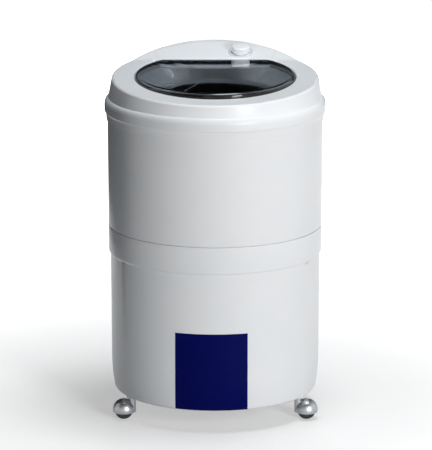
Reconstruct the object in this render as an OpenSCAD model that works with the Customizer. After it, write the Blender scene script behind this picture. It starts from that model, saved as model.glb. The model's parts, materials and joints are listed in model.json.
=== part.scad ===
// Round top-loading washing machine with an impeller wash, on three ball casters.
// Millimetres. The ground is z = 0, the front is -Y, and the tub's axis is Z.

/* [Cabinet] */
// Height of the cabinet's floor above the ground
base_z = 47; // [46:1:70]
// Height of the lower shell, collar included
lower_h = 360; // [330:1:420]
// Height of the collar that holds the upper shell
collar_h = 55; // [40:1:70]
// Height of the upper shell above the seam
upper_h = 265; // [220:1:320]
// Outer radius of the collar and of the upper shell at the seam
shell_r = 228; // [220:1:240]
// How far the upper shell widens from the seam to its top
upper_flare = 1.5; // [0:0.1:3]
// How far the collar stands out from the wall below it
collar_step = 3.8; // [2.5:0.1:6]
// How far the lower wall draws in from its top to its foot
foot_tuck = 7; // [3:0.5:10]
// Height over which most of that draw happens
tuck_h = 70; // [40:1:110]
// Radius of the lower shell's bottom corner
corner_r = 9; // [5:0.5:14]
// Wall of the moulded shells
wall = 3; // [2.4:0.1:3.6]
// Width of the bottom flange, inwards from the outer wall
flange_w = 42; // [36:1:50]
// Height of the dark seam groove above the collar
seam_gap = 1.2; // [0.6:0.1:2]

/* [Top cover] */
// How far the bead round the foot of the top cover stands out from the collar
bead_proud = 8; // [5.5:0.5:14]
// Height of that bead
bead_h = 46; // [36:1:56]
// How far the bead laps down over the upper shell
bead_lap = 35; // [28:1:40]
// How far the top's outline is drawn in from the collar
rim_inset = 7; // [4:0.5:16]
// Height of the sloping top at the tub's axis, above the upper shell
crown_h = 55; // [50:1:65]
// Rise of the top per millimetre towards the rear
top_slope = 0.08; // [0.05:0.005:0.11]
// Rise of the control panel per millimetre towards the rear
panel_slope = 0.29; // [0.2:0.01:0.32]
// Radius of the rounded edge round the top
rim_fillet = 6; // [4:0.5:12]

/* [Lid] */
// Radius of the lid's round front
lid_r = 171; // [165:0.5:174]
// Distance from the tub's axis to the lid's straight rear edge
lid_back = 122; // [116:0.5:126]
// Height of the lid's turned-down edge
lid_edge = 12; // [10:0.5:13]
// Radius of the rounding on that edge
lid_round = 8; // [4:0.5:9]
// Thickness of the smoked sheet
lid_t = 3; // [2:0.1:4]
// Rise of the lid per millimetre towards the rear
lid_slope = 0.049; // [0.03:0.001:0.06]
// Height of the lid's top above the crown at the tub's axis
lid_proud = 6; // [4:0.5:8]
// Gap round the lid
lid_gap = 1.5; // [1:0.1:2.5]
// Radius of the hinge pins
hinge_pin_r = 1.5; // [1.2:0.1:2]
// Radius of the mouth over the tub
mouth_r = 127; // [110:1:138]
// Height of the mouth's foot above the top of the upper shell
mouth_rise = 19; // [14:1:24]

/* [Controls] */
// Distance of the timer knob to the right of the middle
knob_x = 55; // [40:1:70]
// Distance of the timer knob behind the panel's front edge
knob_back = 36; // [30:1:42]
// Radius of the knob
knob_r = 20; // [15:0.5:24]
// Height of the knob
knob_h = 17; // [12:0.5:22]
// Radius of the dial round the knob
dial_r = 27; // [25:0.5:30]
// Radius of the timer's spindle
spindle_r = 3; // [2.5:0.1:4]

/* [Tub and drive] */
// Distance from the collar's outside in to the tub's inner face
tub_inset = 32; // [26:1:42]
// Wall of the tub
tub_wall = 3; // [2.5:0.1:4]
// Height of the tub's floor above the cabinet's floor
tub_lift = 215; // [205:1:235]
// Radius of the pulsator
pulsator_r = 128; // [105:1:140]
// Height of the pulsator's vanes
vane_h = 26; // [16:1:34]
// Number of large vanes
vane_count = 4; // [3:1:5]
// Radius of the drive shaft
shaft_r = 8; // [7:0.5:10]
// Radius of the bearing housing's barrel
housing_r = 26; // [25:0.5:30]
// Radius of the large pulley
drive_pulley_r = 80; // [65:1:86]
// Radius of the motor pulley
motor_pulley_r = 22; // [18:1:26]
// Width of both pulleys
pulley_w = 14; // [13:1:18]
// Height of the pulleys' middle above the cabinet's floor
belt_lift = 49; // [42:1:56]
// Distance between the tub's axis and the motor's axis
motor_offset = 128; // [122:1:136]
// Radius of the motor
motor_r = 58; // [50:1:62]
// Height of the motor
motor_h = 96; // [80:1:104]
// Radius of the motor shaft
motor_shaft_r = 5; // [4:0.5:6]

/* [Casters] */
// Distance of the caster stems in from the collar's outside
caster_inset = 23; // [22:0.5:30]
// Radius of the ball wheels
wheel_r = 20; // [17:0.5:20.5]
// Outer radius of the hoods
hood_r = 24; // [23:0.5:26]
// Trail of a wheel behind its stem
trail = 18; // [14:0.5:20]
// Radius of the caster stems
stem_r = 4; // [3:0.5:5]
// Depth of the stem's socket
stem_depth = 38; // [30:1:42]

/* [Hidden] */

// Clearances: seats at rest, a running fit in a bore, and the joint lines of the mouldings
seat = 0.3;
fit = 0.05;
joint_line = 0.4;

// Faces on round solids, and steps round the lofted top cover
round_fn = 120;
small_fn = 48;
front_steps = 54;
rear_steps = 18;

// Colours, as the photograph shows them
shell_white = "#eceef1";
smoke = "#3c434b";
collar_grey = "#8b9096";
tub_black = "#22252a";
steel = "#b9bec4";
bright = "#d5dade";
rubber_black = "#1d1d1f";
zinc = "#a9b0b4";

// Heights of the cabinet
seam_z = base_z + lower_h;
ledge_z = seam_z - collar_h;
top_z = seam_z + upper_h;

// Radii of the cabinet
top_r = shell_r + upper_flare;
bead_r = shell_r + bead_proud;
rim_r = shell_r - rim_inset;
tub_r = shell_r - tub_inset;
caster_r = shell_r - caster_inset;
spigot_r = shell_r - wall - seat;
waist_r = shell_r - collar_step;
tuck_r = waist_r - 0.22 * foot_tuck;
foot_r = waist_r - foot_tuck;
flange_r = foot_r - flange_w;
step_drop = 6;

function arc(c, r, a0, a1, n) =
    [for (i = [0 : n]) let (a = a0 + (a1 - a0) * i / n) [c[0] + r * cos(a), c[1] + r * sin(a)]];

function lower_wall(t) =
    [tuck_r + (foot_r - tuck_r) * pow(1 - t, 2), base_z + corner_r + (tuck_h - corner_r) * t];

module revolve(points, fn = round_fn) {
    rotate_extrude($fn = fn) polygon(points);
}

module ring_at(r, count, start = 0) {
    for (i = [0 : count - 1]) rotate(start + i * 360 / count) translate([r, 0, 0]) children();
}

// The front casters stand 60 degrees either side of the front, the third at the rear
stem_angles = [210, 330, 90];
// Direction in which each caster trails, as a turn about its stem
trail_turns = [180, 0, 0];

// Lower shell: one wall from the bottom flange to the collar, with three caster bosses
boss_r = 12;
boss_draft = 4.5;
boss_h = 44;
boss_skin = 1;
latch_w = 14;
latch_h = 5;
latch_drop = 3;
latch_window = 1;
tray_screw_count = 6;
tray_lap = 12;
tray_screw_r = 2;
port_lift = 52;
port_z = base_z + port_lift;
drain_r = 14;
barb_r = drain_r - 3;
drain_turn = 115;

module shell_profile() {
    skin = wall;
    outer = concat(
        [[flange_r, base_z]],
        arc([foot_r - corner_r, base_z + corner_r], corner_r, 270, 360, 6),
        [for (i = [1 : 8]) lower_wall(i / 8)],
        [[waist_r, ledge_z - step_drop], [waist_r + 0.2 * collar_step, ledge_z - 0.6 * step_drop],
         [shell_r - 0.2 * collar_step, ledge_z - 0.3 * step_drop], [shell_r, ledge_z],
         [shell_r, seam_z - 1], [shell_r - 0.8, seam_z], [shell_r - wall, seam_z]]);
    inner = concat(
        [[shell_r - wall, ledge_z], [waist_r - skin, ledge_z], [waist_r - skin, ledge_z - step_drop]],
        [for (i = [8 : -1 : 1]) lower_wall(i / 8) - [skin, 0]],
        arc([foot_r - corner_r, base_z + corner_r], corner_r - skin, 360, 270, 6),
        [[flange_r, base_z + skin]]);
    polygon(concat(outer, inner));
}

module latch_windows() {
    for (a = stem_angles) rotate(a)
        translate([waist_r, 0, ledge_z - latch_drop - latch_h / 2])
            cube([24, latch_w, latch_h], center = true);
}

module lower_shell() {
    color(shell_white) difference() {
        union() {
            rotate_extrude($fn = round_fn) shell_profile();
            for (a = stem_angles) rotate(a) translate([caster_r, 0, base_z])
                cylinder(h = boss_h, r1 = boss_r, r2 = boss_r + boss_draft, $fn = small_fn);
        }
        for (a = stem_angles) rotate(a) translate([caster_r, 0, base_z - 1])
            cylinder(h = stem_depth + 1, r = stem_r + fit, $fn = small_fn);
        latch_windows();
        translate([0, 0, base_z - 1]) ring_at(flange_r + tray_lap / 2, tray_screw_count)
            cylinder(h = wall + 2, r = tray_screw_r + seat, $fn = 24);
        wall_port(drain_turn, drain_r + 2 * seat);
    }
}

// A round hole through the lower wall, square to it
port_reach = 25;

module wall_port(turn, r) {
    rotate(turn) translate([tuck_r - port_reach, 0, port_z]) rotate([0, 90, 0])
        cylinder(h = 2 * port_reach, r = r, $fn = small_fn);
}

// Upper shell: a plain drum whose foot steps in to seat in the collar
hook_turn = 2.6;

module upper_shell() {
    shoulder_z = seam_z + seam_gap;
    color(shell_white) {
        revolve([
            [spigot_r, ledge_z], [spigot_r, shoulder_z], [shell_r - 0.8, shoulder_z],
            [shell_r, shoulder_z + 1], [top_r, top_z], [top_r - wall, top_z],
            [shell_r - wall, shoulder_z + 6], [spigot_r - wall, shoulder_z - 4],
            [spigot_r - wall, ledge_z]
        ]);
        for (a = stem_angles) rotate(a - hook_turn / 2) latch_hook();
    }
}

// A hook below the foot, which springs out into its window in the lower shell
module latch_hook() {
    back_r = waist_r - wall - seat;
    tip_z = ledge_z - latch_drop - latch_h + latch_window / 2;
    rotate_extrude(angle = hook_turn, $fn = round_fn) polygon([
        [back_r - 2.7, tip_z - 6], [back_r, tip_z - 6], [back_r, tip_z], [waist_r - 0.8, tip_z + 0.8],
        [waist_r - 0.8, tip_z + latch_h - latch_window], [back_r, tip_z + latch_h - latch_window],
        [back_r, ledge_z + seat], [spigot_r - 1, ledge_z + seat], [spigot_r - 1, ledge_z + 10],
        [spigot_r - wall - 0.2, ledge_z + 10], [back_r - 2.7, ledge_z + 2]
    ]);
}

// The tub hangs by its rim on the upper shell
tub_floor_z = base_z + tub_lift;
tub_rim_t = 3;
well_gap = 8;
well_h = 12;
heel_share = 0.654;
tub_heel = heel_share * (tub_r - pulsator_r - well_gap - 8);
heel_r = tub_r + tub_wall - tub_heel;
heel_z = tub_floor_z + well_h + tub_heel;
post_r = 9;
post_count = 4;
post_ring_r = 92;
weld_turn = 340;
weld_gap = 0.5;
weld_band = 8;

// Wash tub: a drum hung by its rim, with a band round its foot that the floor pan is welded into
module tub() {
    weld_r = heel_r + tub_heel * cos(weld_turn);
    weld_z = heel_z + tub_heel * sin(weld_turn);
    color(tub_black) revolve(concat(
        [[weld_r, weld_z], [weld_r + seat, weld_z], [weld_r + seat, weld_z - weld_band],
         [weld_r + tub_wall, weld_z - weld_band], [weld_r + tub_wall, heel_z - tub_wall],
         [tub_r + tub_wall, heel_z], [tub_r + tub_wall, top_z], [top_r - 0.8, top_z],
         [top_r - 0.8, top_z + tub_rim_t], [tub_r, top_z + tub_rim_t]],
        arc([heel_r, heel_z], tub_heel - tub_wall, 360, weld_turn, 3)));
}

// The pan under it: a well for the pulsator, four posts for the plate and a ring round the shaft seal
module tub_floor() {
    well_r = pulsator_r + well_gap;
    floor_z = tub_floor_z + tub_wall;
    color(tub_black) difference() {
        union() {
            revolve(concat(
                [[0, tub_floor_z], [well_r + tub_wall, tub_floor_z]],
                [[well_r + tub_wall + 8, tub_floor_z + well_h]],
                arc([heel_r, heel_z], tub_heel, 270, weld_turn - weld_gap, 8),
                arc([heel_r, heel_z], tub_heel - tub_wall, weld_turn - weld_gap, 270, 8),
                [[well_r + 8, floor_z + well_h], [well_r, floor_z], [0, floor_z]]));
            translate([0, 0, plate_z + plate_t]) ring_at(post_ring_r, post_count, 45)
                cylinder(h = tub_floor_z - plate_z - plate_t + 1, r1 = post_r, r2 = post_r + 3, $fn = small_fn);
            translate([0, 0, tub_floor_z]) cylinder(h = tub_wall + 2, r = seal_r + 4, $fn = small_fn);
            drain_place() translate([0, 0, -spout_l])
                cylinder(h = spout_l + tub_wall, r = barb_r, $fn = small_fn);
        }
        translate([0, 0, tub_floor_z - 1]) cylinder(h = tub_wall + 10, r = seal_r, $fn = small_fn);
        drain_place() translate([0, 0, -spout_l - 1])
            cylinder(h = 3 * spout_l, r = barb_r - spout_wall, $fn = small_fn);
        translate([0, 0, plate_z]) ring_at(post_ring_r, post_count, 45)
            cylinder(h = 30, r = bolt_r, $fn = 24);
    }
}

// The drain leaves through the tub's floor, beside the pulsator's well
drain_ring_r = heel_r + 3;
spout_l = 22;
spout_wall = 2.5;

module drain_place() {
    rotate(drain_turn) translate([drain_ring_r, 0, tub_floor_z + well_h]) children();
}

// Drive: seal, bearings and shaft on the tub's axis
seal_r = 18;
bearing_r = 17.5;
bearing_w = 11;
housing_flange_r = 50;
housing_flange_t = 6;
belt_z = base_z + belt_lift;
motor_foot_z = belt_z + pulley_w / 2 + 12;
motor_top_z = motor_foot_z + motor_h;
housing_foot_z = motor_foot_z;
grommet_h = 6;
plate_z = motor_top_z + grommet_h;
plate_t = 3;
bolt_r = 3;
bolt_head_h = 4;
bolt_head_r = 5.5;
bolt_end = 7;
plate_bolt_l = 26;
shaft_foot_z = belt_z - pulley_w / 2 - 16;
pulsator_z = tub_floor_z + tub_wall + 3;
hub_h = 14;
shaft_top_z = pulsator_z + hub_h;
bearing_zs = [housing_foot_z + 6, tub_floor_z - bearing_w - 12];

module shaft_seal() {
    color(rubber_black) revolve([
        [shaft_r + fit, tub_floor_z - 2], [seal_r, tub_floor_z - 2], [seal_r, tub_floor_z + 5],
        [shaft_r + 4, tub_floor_z + 5], [shaft_r + 2, tub_floor_z + 3], [shaft_r + fit, tub_floor_z + 3]
    ], small_fn);
}

module bearing_housing() {
    top = tub_floor_z;
    color(zinc) difference() {
        union() {
            revolve([
                [0, housing_foot_z], [housing_r - 2, housing_foot_z], [housing_r, housing_foot_z + 2],
                [housing_r, top - 24], [housing_r + 6, top - housing_flange_t],
                [housing_flange_r, top - housing_flange_t], [housing_flange_r, top], [0, top]
            ], small_fn);
            for (a = [0 : 60 : 300]) rotate(a) translate([housing_r - 1, -2, top - 34])
                cube([14, 4, 32]);
        }
        translate([0, 0, housing_foot_z - 1]) cylinder(h = top - housing_foot_z + 2, r = shaft_r + 3, $fn = small_fn);
        translate([0, 0, housing_foot_z - 1]) cylinder(h = bearing_w + 7, r = bearing_r, $fn = small_fn);
        translate([0, 0, bearing_zs[1]]) cylinder(h = top - bearing_zs[1] + 1, r = bearing_r, $fn = small_fn);
        translate([0, 0, tub_floor_z - 2]) cylinder(h = 4, r = seal_r, $fn = small_fn);
        translate([0, 0, top - 10]) ring_at(housing_flange_r - 8, 6, 30) cylinder(h = 12, r = bolt_r, $fn = 24);
    }
}

module ball_bearing(inner, outer, w) {
    race = (outer - inner) * 0.28;
    difference() {
        cylinder(h = w, r = outer, $fn = small_fn);
        translate([0, 0, -1]) cylinder(h = w + 2, r = inner, $fn = small_fn);
        for (z = [-1, w - 1.5]) translate([0, 0, z]) difference() {
            cylinder(h = 2.5, r = outer - race, $fn = small_fn);
            translate([0, 0, -1]) cylinder(h = 5, r = inner + race, $fn = small_fn);
        }
    }
}

module bearing_at(z) {
    color(steel) translate([0, 0, z]) ball_bearing(shaft_r + fit, bearing_r, bearing_w);
}

module drive_shaft() {
    thread_h = 12;
    color(bright) difference() {
        union() {
            translate([0, 0, shaft_foot_z + thread_h])
                cylinder(h = shaft_top_z - shaft_foot_z - thread_h, r = shaft_r, $fn = small_fn);
            translate([0, 0, shaft_foot_z]) cylinder(h = thread_h, r = shaft_r - 2, $fn = small_fn);
        }
        translate([0, 0, shaft_top_z - 16]) cylinder(h = 20, r = bolt_r - 0.5, $fn = 24);
    }
}

// Pulsator: a dished disc with swept vanes, each a slice of a ring struck off-centre
vane_t = 9;
vane_arc_r = 84;
vane_reach = 66;
dish_t = 3;
hub_r = 24;

module pulsator() {
    rim_z = pulsator_z + 9;
    color(collar_grey) difference() {
        union() {
            revolve([
                [0, pulsator_z], [pulsator_r - 22, pulsator_z], [pulsator_r - 3, rim_z - dish_t],
                [pulsator_r, rim_z - 1], [pulsator_r - 2, rim_z], [pulsator_r - 24, pulsator_z + dish_t + 1],
                [hub_r + 6, pulsator_z + dish_t + 2], [hub_r, pulsator_z + hub_h - 2],
                [hub_r - 3, pulsator_z + hub_h], [0, pulsator_z + hub_h]
            ]);
            intersection() {
                for (i = [0 : vane_count - 1]) rotate(i * 360 / vane_count) vane();
                vane_envelope();
            }
        }
        translate([0, 0, pulsator_z - 1]) cylinder(h = hub_h + 2, r = shaft_r, $fn = small_fn);
        for (i = [0 : vane_count - 1], k = [0 : 2])
            rotate((i + 0.45) * 360 / vane_count + (k - 1) * 14) translate([pulsator_r - 38, 0, pulsator_z - 1])
                cylinder(h = 12, r = 4, $fn = 24);
    }
}

// A vane's ring section narrows from its root to its rounded crest
module vane() {
    root_z = pulsator_z + 1;
    crest_z = pulsator_z + vane_h;
    translate([vane_reach, vane_arc_r - 10, 0]) rotate(180) rotate_extrude(angle = 180, $fn = round_fn)
        polygon([
            [vane_arc_r - vane_t, root_z], [vane_arc_r + vane_t, root_z],
            [vane_arc_r + 3, crest_z - 2], [vane_arc_r + 1.5, crest_z],
            [vane_arc_r - 1.5, crest_z], [vane_arc_r - 3, crest_z - 2]
        ]);
}

// The vanes start at the hub and run down to the disc near its rim
module vane_envelope() {
    revolve([
        [hub_r - 6, pulsator_z + 0.5], [pulsator_r - 10, pulsator_z + 0.5],
        [pulsator_r - 10, pulsator_z + 7], [pulsator_r - 40, pulsator_z + vane_h * 0.75],
        [hub_r + 22, pulsator_z + vane_h], [hub_r, pulsator_z + vane_h * 0.7], [hub_r - 6, pulsator_z + 8]
    ]);
}

module pulsator_screw() {
    head_z = pulsator_z + hub_h;
    color(steel) difference() {
        union() {
            revolve([[0, head_z], [11, head_z], [11, head_z + 2], [7, head_z + 5], [0, head_z + 6]], small_fn);
            translate([0, 0, head_z - 14]) cylinder(h = 15, r = bolt_r - 0.5 - fit, $fn = 24);
        }
        translate([0, 0, head_z + 5]) cube([8, 1.6, 6], center = true);
    }
}

// Pulleys and belt
groove = 7;
belt_w = 8;
belt_t = 6;
spoke_count = 5;

module pulley_profile(r, hub_out, hub_in) {
    w = pulley_w / 2;
    polygon([
        [hub_in, -w - 4], [hub_out, -w - 4], [hub_out, -2], [r - 14, -2], [r - 12, -w], [r, -w],
        [r - groove, -belt_w / 2 - seat], [r - groove, belt_w / 2 + seat], [r, w], [r - 12, w],
        [r - 14, 2], [hub_out, 2], [hub_out, w + 4], [hub_in, w + 4]
    ]);
}

module drive_pulley() {
    hub = shaft_r + 9;
    web = drive_pulley_r - 14;
    hole_r = min(13, (web - hub) / 2 - 3);
    color(zinc) translate([0, 0, belt_z]) difference() {
        rotate_extrude($fn = round_fn) pulley_profile(drive_pulley_r, hub, shaft_r + fit);
        ring_at((web + hub) / 2, spoke_count) cylinder(h = 30, r = hole_r, center = true, $fn = small_fn);
    }
}

module pulley_nut() {
    nut_top = belt_z - pulley_w / 2 - 4;
    color(steel) difference() {
        translate([0, 0, nut_top - 7]) cylinder(h = 7, r = shaft_r + 3, $fn = 6);
        translate([0, 0, nut_top - 8]) cylinder(h = 9, r = shaft_r - 2 + fit, $fn = small_fn);
    }
}

module motor_place() {
    translate([motor_offset, 0, 0]) children();
}

module motor_pulley() {
    w = pulley_w / 2;
    color(zinc) motor_place() translate([0, 0, belt_z]) rotate_extrude($fn = small_fn) polygon([
        [motor_shaft_r + fit, -w - 3], [motor_shaft_r + 5, -w - 3], [motor_shaft_r + 5, -w],
        [motor_pulley_r, -w], [motor_pulley_r - groove, -belt_w / 2 - seat],
        [motor_pulley_r - groove, belt_w / 2 + seat], [motor_pulley_r, w], [motor_shaft_r + fit, w]
    ]);
}

// The run of an open belt round both pulleys, at a depth below their rims
module belt_run(depth) {
    big = drive_pulley_r - depth;
    small = motor_pulley_r - depth;
    lean = acos((big - small) / motor_offset);
    polygon(concat(
        arc([0, 0], big, lean, 360 - lean, 48),
        arc([motor_offset, 0], small, -lean, lean, 24)));
}

module drive_belt() {
    inner = groove - seat;
    color(rubber_black) translate([0, 0, belt_z - belt_w / 2]) difference() {
        linear_extrude(belt_w) belt_run(inner - belt_t);
        translate([0, 0, -1]) linear_extrude(belt_w + 2) belt_run(inner);
    }
}

// Motor: hangs from the drive plate on four rubber grommets, shaft down
can_t = 2.5;
motor_bearing_r = 13;
motor_bearing_w = 8;
lug_ring_r = motor_r - 12;
grommet_r = 8;

module motor_housing() {
    hub_r = motor_bearing_r + 4;
    color(steel) motor_place() difference() {
        union() {
            revolve([
                [0, motor_foot_z], [hub_r, motor_foot_z], [hub_r + 2, motor_foot_z + 4],
                [motor_r - 8, motor_foot_z + 6], [motor_r, motor_foot_z + 16],
                [motor_r, motor_top_z], [0, motor_top_z]
            ], small_fn * 2);
            for (a = [0 : 20 : 340]) rotate(a) translate([motor_r - 1, -1.2, motor_foot_z + 20])
                cube([3, 2.4, motor_h - 30]);
        }
        difference() {
            translate([0, 0, motor_foot_z + 14])
                cylinder(h = motor_h - 14 - can_t - 6, r = motor_r - can_t, $fn = small_fn * 2);
            translate([0, 0, motor_top_z - 20]) cylinder(h = 30, r = hub_r, $fn = small_fn);
        }
        translate([0, 0, motor_foot_z - 1]) cylinder(h = motor_h - 14, r = motor_shaft_r + 2, $fn = small_fn);
        translate([0, 0, motor_foot_z + 4]) cylinder(h = 20, r = motor_bearing_r, $fn = small_fn);
        translate([0, 0, motor_top_z - 21]) cylinder(h = motor_bearing_w + 4, r = motor_bearing_r, $fn = small_fn);
        translate([0, 0, motor_top_z - 8]) ring_at(lug_ring_r, 4, 45) cylinder(h = 12, r = bolt_r + fit, $fn = 24);
    }
}

rotor_r = 30;
rotor_z = motor_foot_z + 24;
rotor_h = 40;

module motor_stator() {
    inner = rotor_r + 1;
    color(zinc) motor_place() translate([0, 0, rotor_z - 4]) difference() {
        cylinder(h = rotor_h + 8, r = motor_r - can_t - fit, $fn = small_fn * 2);
        translate([0, 0, -1]) cylinder(h = rotor_h + 10, r = inner, $fn = small_fn * 2);
        ring_at(inner + 5, 12) translate([0, 0, -1]) cylinder(h = rotor_h + 10, r = 3, $fn = 24);
    }
}

module motor_rotor() {
    color(bright) motor_place() {
        translate([0, 0, belt_z - pulley_w / 2 - 5])
            cylinder(h = motor_top_z - 12 - belt_z + pulley_w / 2 + 5, r = motor_shaft_r, $fn = small_fn);
        translate([0, 0, rotor_z]) cylinder(h = rotor_h, r = rotor_r, $fn = small_fn * 2);
    }
}

module motor_bearings() {
    color(steel) motor_place() for (z = [motor_foot_z + 5, motor_top_z - 20])
        translate([0, 0, z]) ball_bearing(motor_shaft_r + fit, motor_bearing_r - fit, motor_bearing_w);
}

module motor_grommets() {
    color(rubber_black) motor_place() translate([0, 0, motor_top_z]) ring_at(lug_ring_r, 4, 45) difference() {
        cylinder(h = grommet_h, r = grommet_r, $fn = small_fn);
        translate([0, 0, -1]) cylinder(h = grommet_h + 2, r = bolt_r + fit, $fn = 24);
    }
}

module hex_bolt(length) {
    translate([0, 0, -length]) cylinder(h = length, r = bolt_r, $fn = 24);
    cylinder(h = bolt_head_h, r = bolt_head_r, $fn = 6);
}

module motor_bolts() {
    color(steel) motor_place() translate([0, 0, plate_z + plate_t]) ring_at(lug_ring_r, 4, 45)
        hex_bolt(plate_t + grommet_h + bolt_end);
}

// Drive plate: a flat steel plate under the tub, bored for the bearing housing
module drive_plate() {
    boss = post_ring_r + 16;
    pad = motor_r + 8;
    plate_window_r = 20;
    plate_window_ring_r = housing_r + plate_window_r + 16;
    color(steel) translate([0, 0, plate_z]) difference() {
        linear_extrude(plate_t) difference() {
            union() {
                circle(r = boss, $fn = round_fn);
                motor_place() circle(r = pad, $fn = round_fn);
                translate([0, -pad]) square([motor_offset, 2 * pad]);
            }
            circle(r = housing_r + 1, $fn = small_fn);
            ring_at(plate_window_ring_r, 3, 90) circle(r = plate_window_r, $fn = small_fn);
        }
        translate([0, 0, -1]) ring_at(post_ring_r, post_count, 45) cylinder(h = 8, r = bolt_r + fit, $fn = 24);
        translate([motor_offset, 0, -1]) ring_at(lug_ring_r, 4, 45) cylinder(h = 8, r = bolt_r + fit, $fn = 24);
    }
}

module plate_bolts() {
    color(steel) translate([0, 0, plate_z]) ring_at(post_ring_r, post_count, 45) rotate([180, 0, 0])
        hex_bolt(plate_bolt_l);
}

module housing_bolts() {
    color(steel) translate([0, 0, tub_floor_z - housing_flange_t]) ring_at(housing_flange_r - 8, 6, 30)
        rotate([180, 0, 0]) hex_bolt(housing_flange_t - seat);
}

// Base tray: closes the cabinet from below, with ribs and cooling slots
tray_t = 2.5;
tray_z = base_z + wall;
tray_r = flange_r + tray_lap;
tray_rib_h = 8;
tray_boss_h = 10;
tray_rib_t = 2;
tray_hub_r = 40;
tray_rim_r = flange_r - 25;
slot_count = 4;
slot_w = 5;
slot_l = 34;
slot_pitch = 10;
gland_turn = 105;
gland_inset = 28.2;
gland_ring_r = tray_rim_r - gland_inset;
gland_r = 9;
cord_r = 3.5;

module base_tray() {
    color(collar_grey) difference() {
        union() {
            translate([0, 0, tray_z]) cylinder(h = tray_t, r = tray_r, $fn = round_fn);
            for (r = [tray_hub_r, (tray_hub_r + tray_rim_r) / 2, tray_rim_r]) translate([0, 0, tray_z]) difference() {
                cylinder(h = tray_t + tray_rib_h, r = r, $fn = round_fn);
                translate([0, 0, -1]) cylinder(h = tray_t + tray_rib_h + 2, r = r - tray_rib_t, $fn = round_fn);
            }
            for (a = [0 : 30 : 330]) rotate(a) translate([tray_hub_r - 1, -tray_rib_t / 2, tray_z])
                cube([tray_rim_r - tray_hub_r, tray_rib_t, tray_t + tray_rib_h]);
            translate([0, 0, tray_z]) ring_at(flange_r + tray_lap / 2, tray_screw_count)
                cylinder(h = tray_boss_h, r = 2.5 * tray_screw_r, $fn = small_fn);
        }
        translate([0, 0, tray_z - 1]) ring_at(flange_r + tray_lap / 2, tray_screw_count)
            cylinder(h = tray_boss_h - 1, r = tray_screw_r + fit, $fn = 24);
        for (sector = [0 : 60 : 300], row = [0 : slot_count - 1]) rotate(sector + 15)
            translate([tray_rim_r - 14 - row * slot_pitch, 0, tray_z])
                cube([slot_w, slot_l, 3 * tray_t], center = true);
        gland_place() cylinder(h = 3 * tray_t, r = gland_r + fit, center = true, $fn = small_fn);
    }
}

tray_screw_l = 10;
tray_head_h = 2;
tray_head_r = 4.5;

module base_screws() {
    color(steel) translate([0, 0, base_z]) ring_at(flange_r + tray_lap / 2, tray_screw_count) {
        cylinder(h = tray_screw_l, r = tray_screw_r, $fn = 24);
        translate([0, 0, -tray_head_h]) cylinder(h = tray_head_h, r1 = tray_screw_r + 1, r2 = tray_head_r, $fn = 24);
    }
}

// Start capacitor, in a clip on the tray
cap_r = 20;
cap_h = 78;
clip_w = 12;
clip_t = 2;
cap_gap = 1.5;
cap_ring_r = tray_rim_r - cap_r - clip_t - cap_gap;
clip_band_z = 22;
clip_band_h = 16;
cap_z = tray_z + tray_t + 8;

module capacitor_place() {
    rotate(180) translate([cap_ring_r, 0, cap_z]) children();
}

module capacitor() {
    color("#dfe3e6") capacitor_place() {
        revolve([[0, 0], [cap_r, 0], [cap_r, cap_h - 2], [cap_r - 2, cap_h], [0, cap_h]], small_fn);
        for (y = [-7, 7]) translate([-3, y - 0.5, cap_h]) cube([6, 1, 9]);
    }
}

module capacitor_clip() {
    color(steel) capacitor_place() difference() {
        union() {
            translate([0, 0, clip_band_z]) cylinder(h = clip_band_h, r = cap_r + clip_t, $fn = small_fn);
            translate([-clip_w / 2, cap_r + 0.5, 0]) cube([clip_w, clip_t, clip_band_z + clip_band_h]);
            translate([-clip_w / 2, cap_r + 0.5, 0]) cube([clip_w, 8 * clip_t, clip_t]);
        }
        translate([0, 0, -1]) cylinder(h = cap_h, r = cap_r + fit, $fn = small_fn);
    }
}

// Drain: a hose from the tub's floor to a spigot in the rear wall
elbow_r = 21;
spigot_h = 18;
wall_at_port = lower_wall((port_z - base_z - corner_r) / (tuck_h - corner_r))[0];

drain_run = wall_at_port - drain_ring_r - elbow_r;
stop_back = 9;
barb_l = 0.8 * drain_run;

module tube(r_out, r_in, length) {
    difference() {
        cylinder(h = length, r = r_out, $fn = small_fn);
        translate([0, 0, -1]) cylinder(h = length + 2, r = r_in, $fn = small_fn);
    }
}

module drain_pipe() {
    top = tub_floor_z + well_h - 1;
    bend_z = port_z + elbow_r;
    reach = drain_run - stop_back - 0.5;
    color(rubber_black) rotate(drain_turn) {
        translate([drain_ring_r, 0, bend_z]) tube(drain_r, barb_r + fit, top - bend_z);
        translate([drain_ring_r + elbow_r, 0, bend_z]) rotate([90, 0, 0]) rotate([0, 0, 180])
            rotate_extrude(angle = 90, $fn = small_fn * 2) translate([elbow_r, 0]) difference() {
                circle(r = drain_r, $fn = small_fn);
                circle(r = barb_r + fit, $fn = small_fn);
            }
        translate([drain_ring_r + elbow_r, 0, port_z]) rotate([0, 90, 0]) tube(drain_r, barb_r + fit, reach);
    }
}

module drain_outlet() {
    color("#6f757b") rotate(drain_turn) translate([0, 0, port_z]) rotate([0, 90, 0]) revolve([
        [barb_r - spout_wall, wall_at_port - barb_l], [barb_r, wall_at_port - barb_l],
        [barb_r, wall_at_port - stop_back], [drain_r, wall_at_port - stop_back], [drain_r, wall_at_port + 1], [drain_r + 6, wall_at_port + 1],
        [drain_r + 6, wall_at_port + 3], [barb_r, wall_at_port + 3], [barb_r, wall_at_port + 3 + spigot_h],
        [barb_r - 1, wall_at_port + 4 + spigot_h], [barb_r - spout_wall, wall_at_port + 4 + spigot_h]
    ], small_fn);
}

// Gland for the supply cord, in a bay of the tray at the rear; its profile runs downwards from the tray
module gland_place() {
    rotate(gland_turn) translate([gland_ring_r, 0, tray_z]) rotate([180, 0, 0]) children();
}

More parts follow.
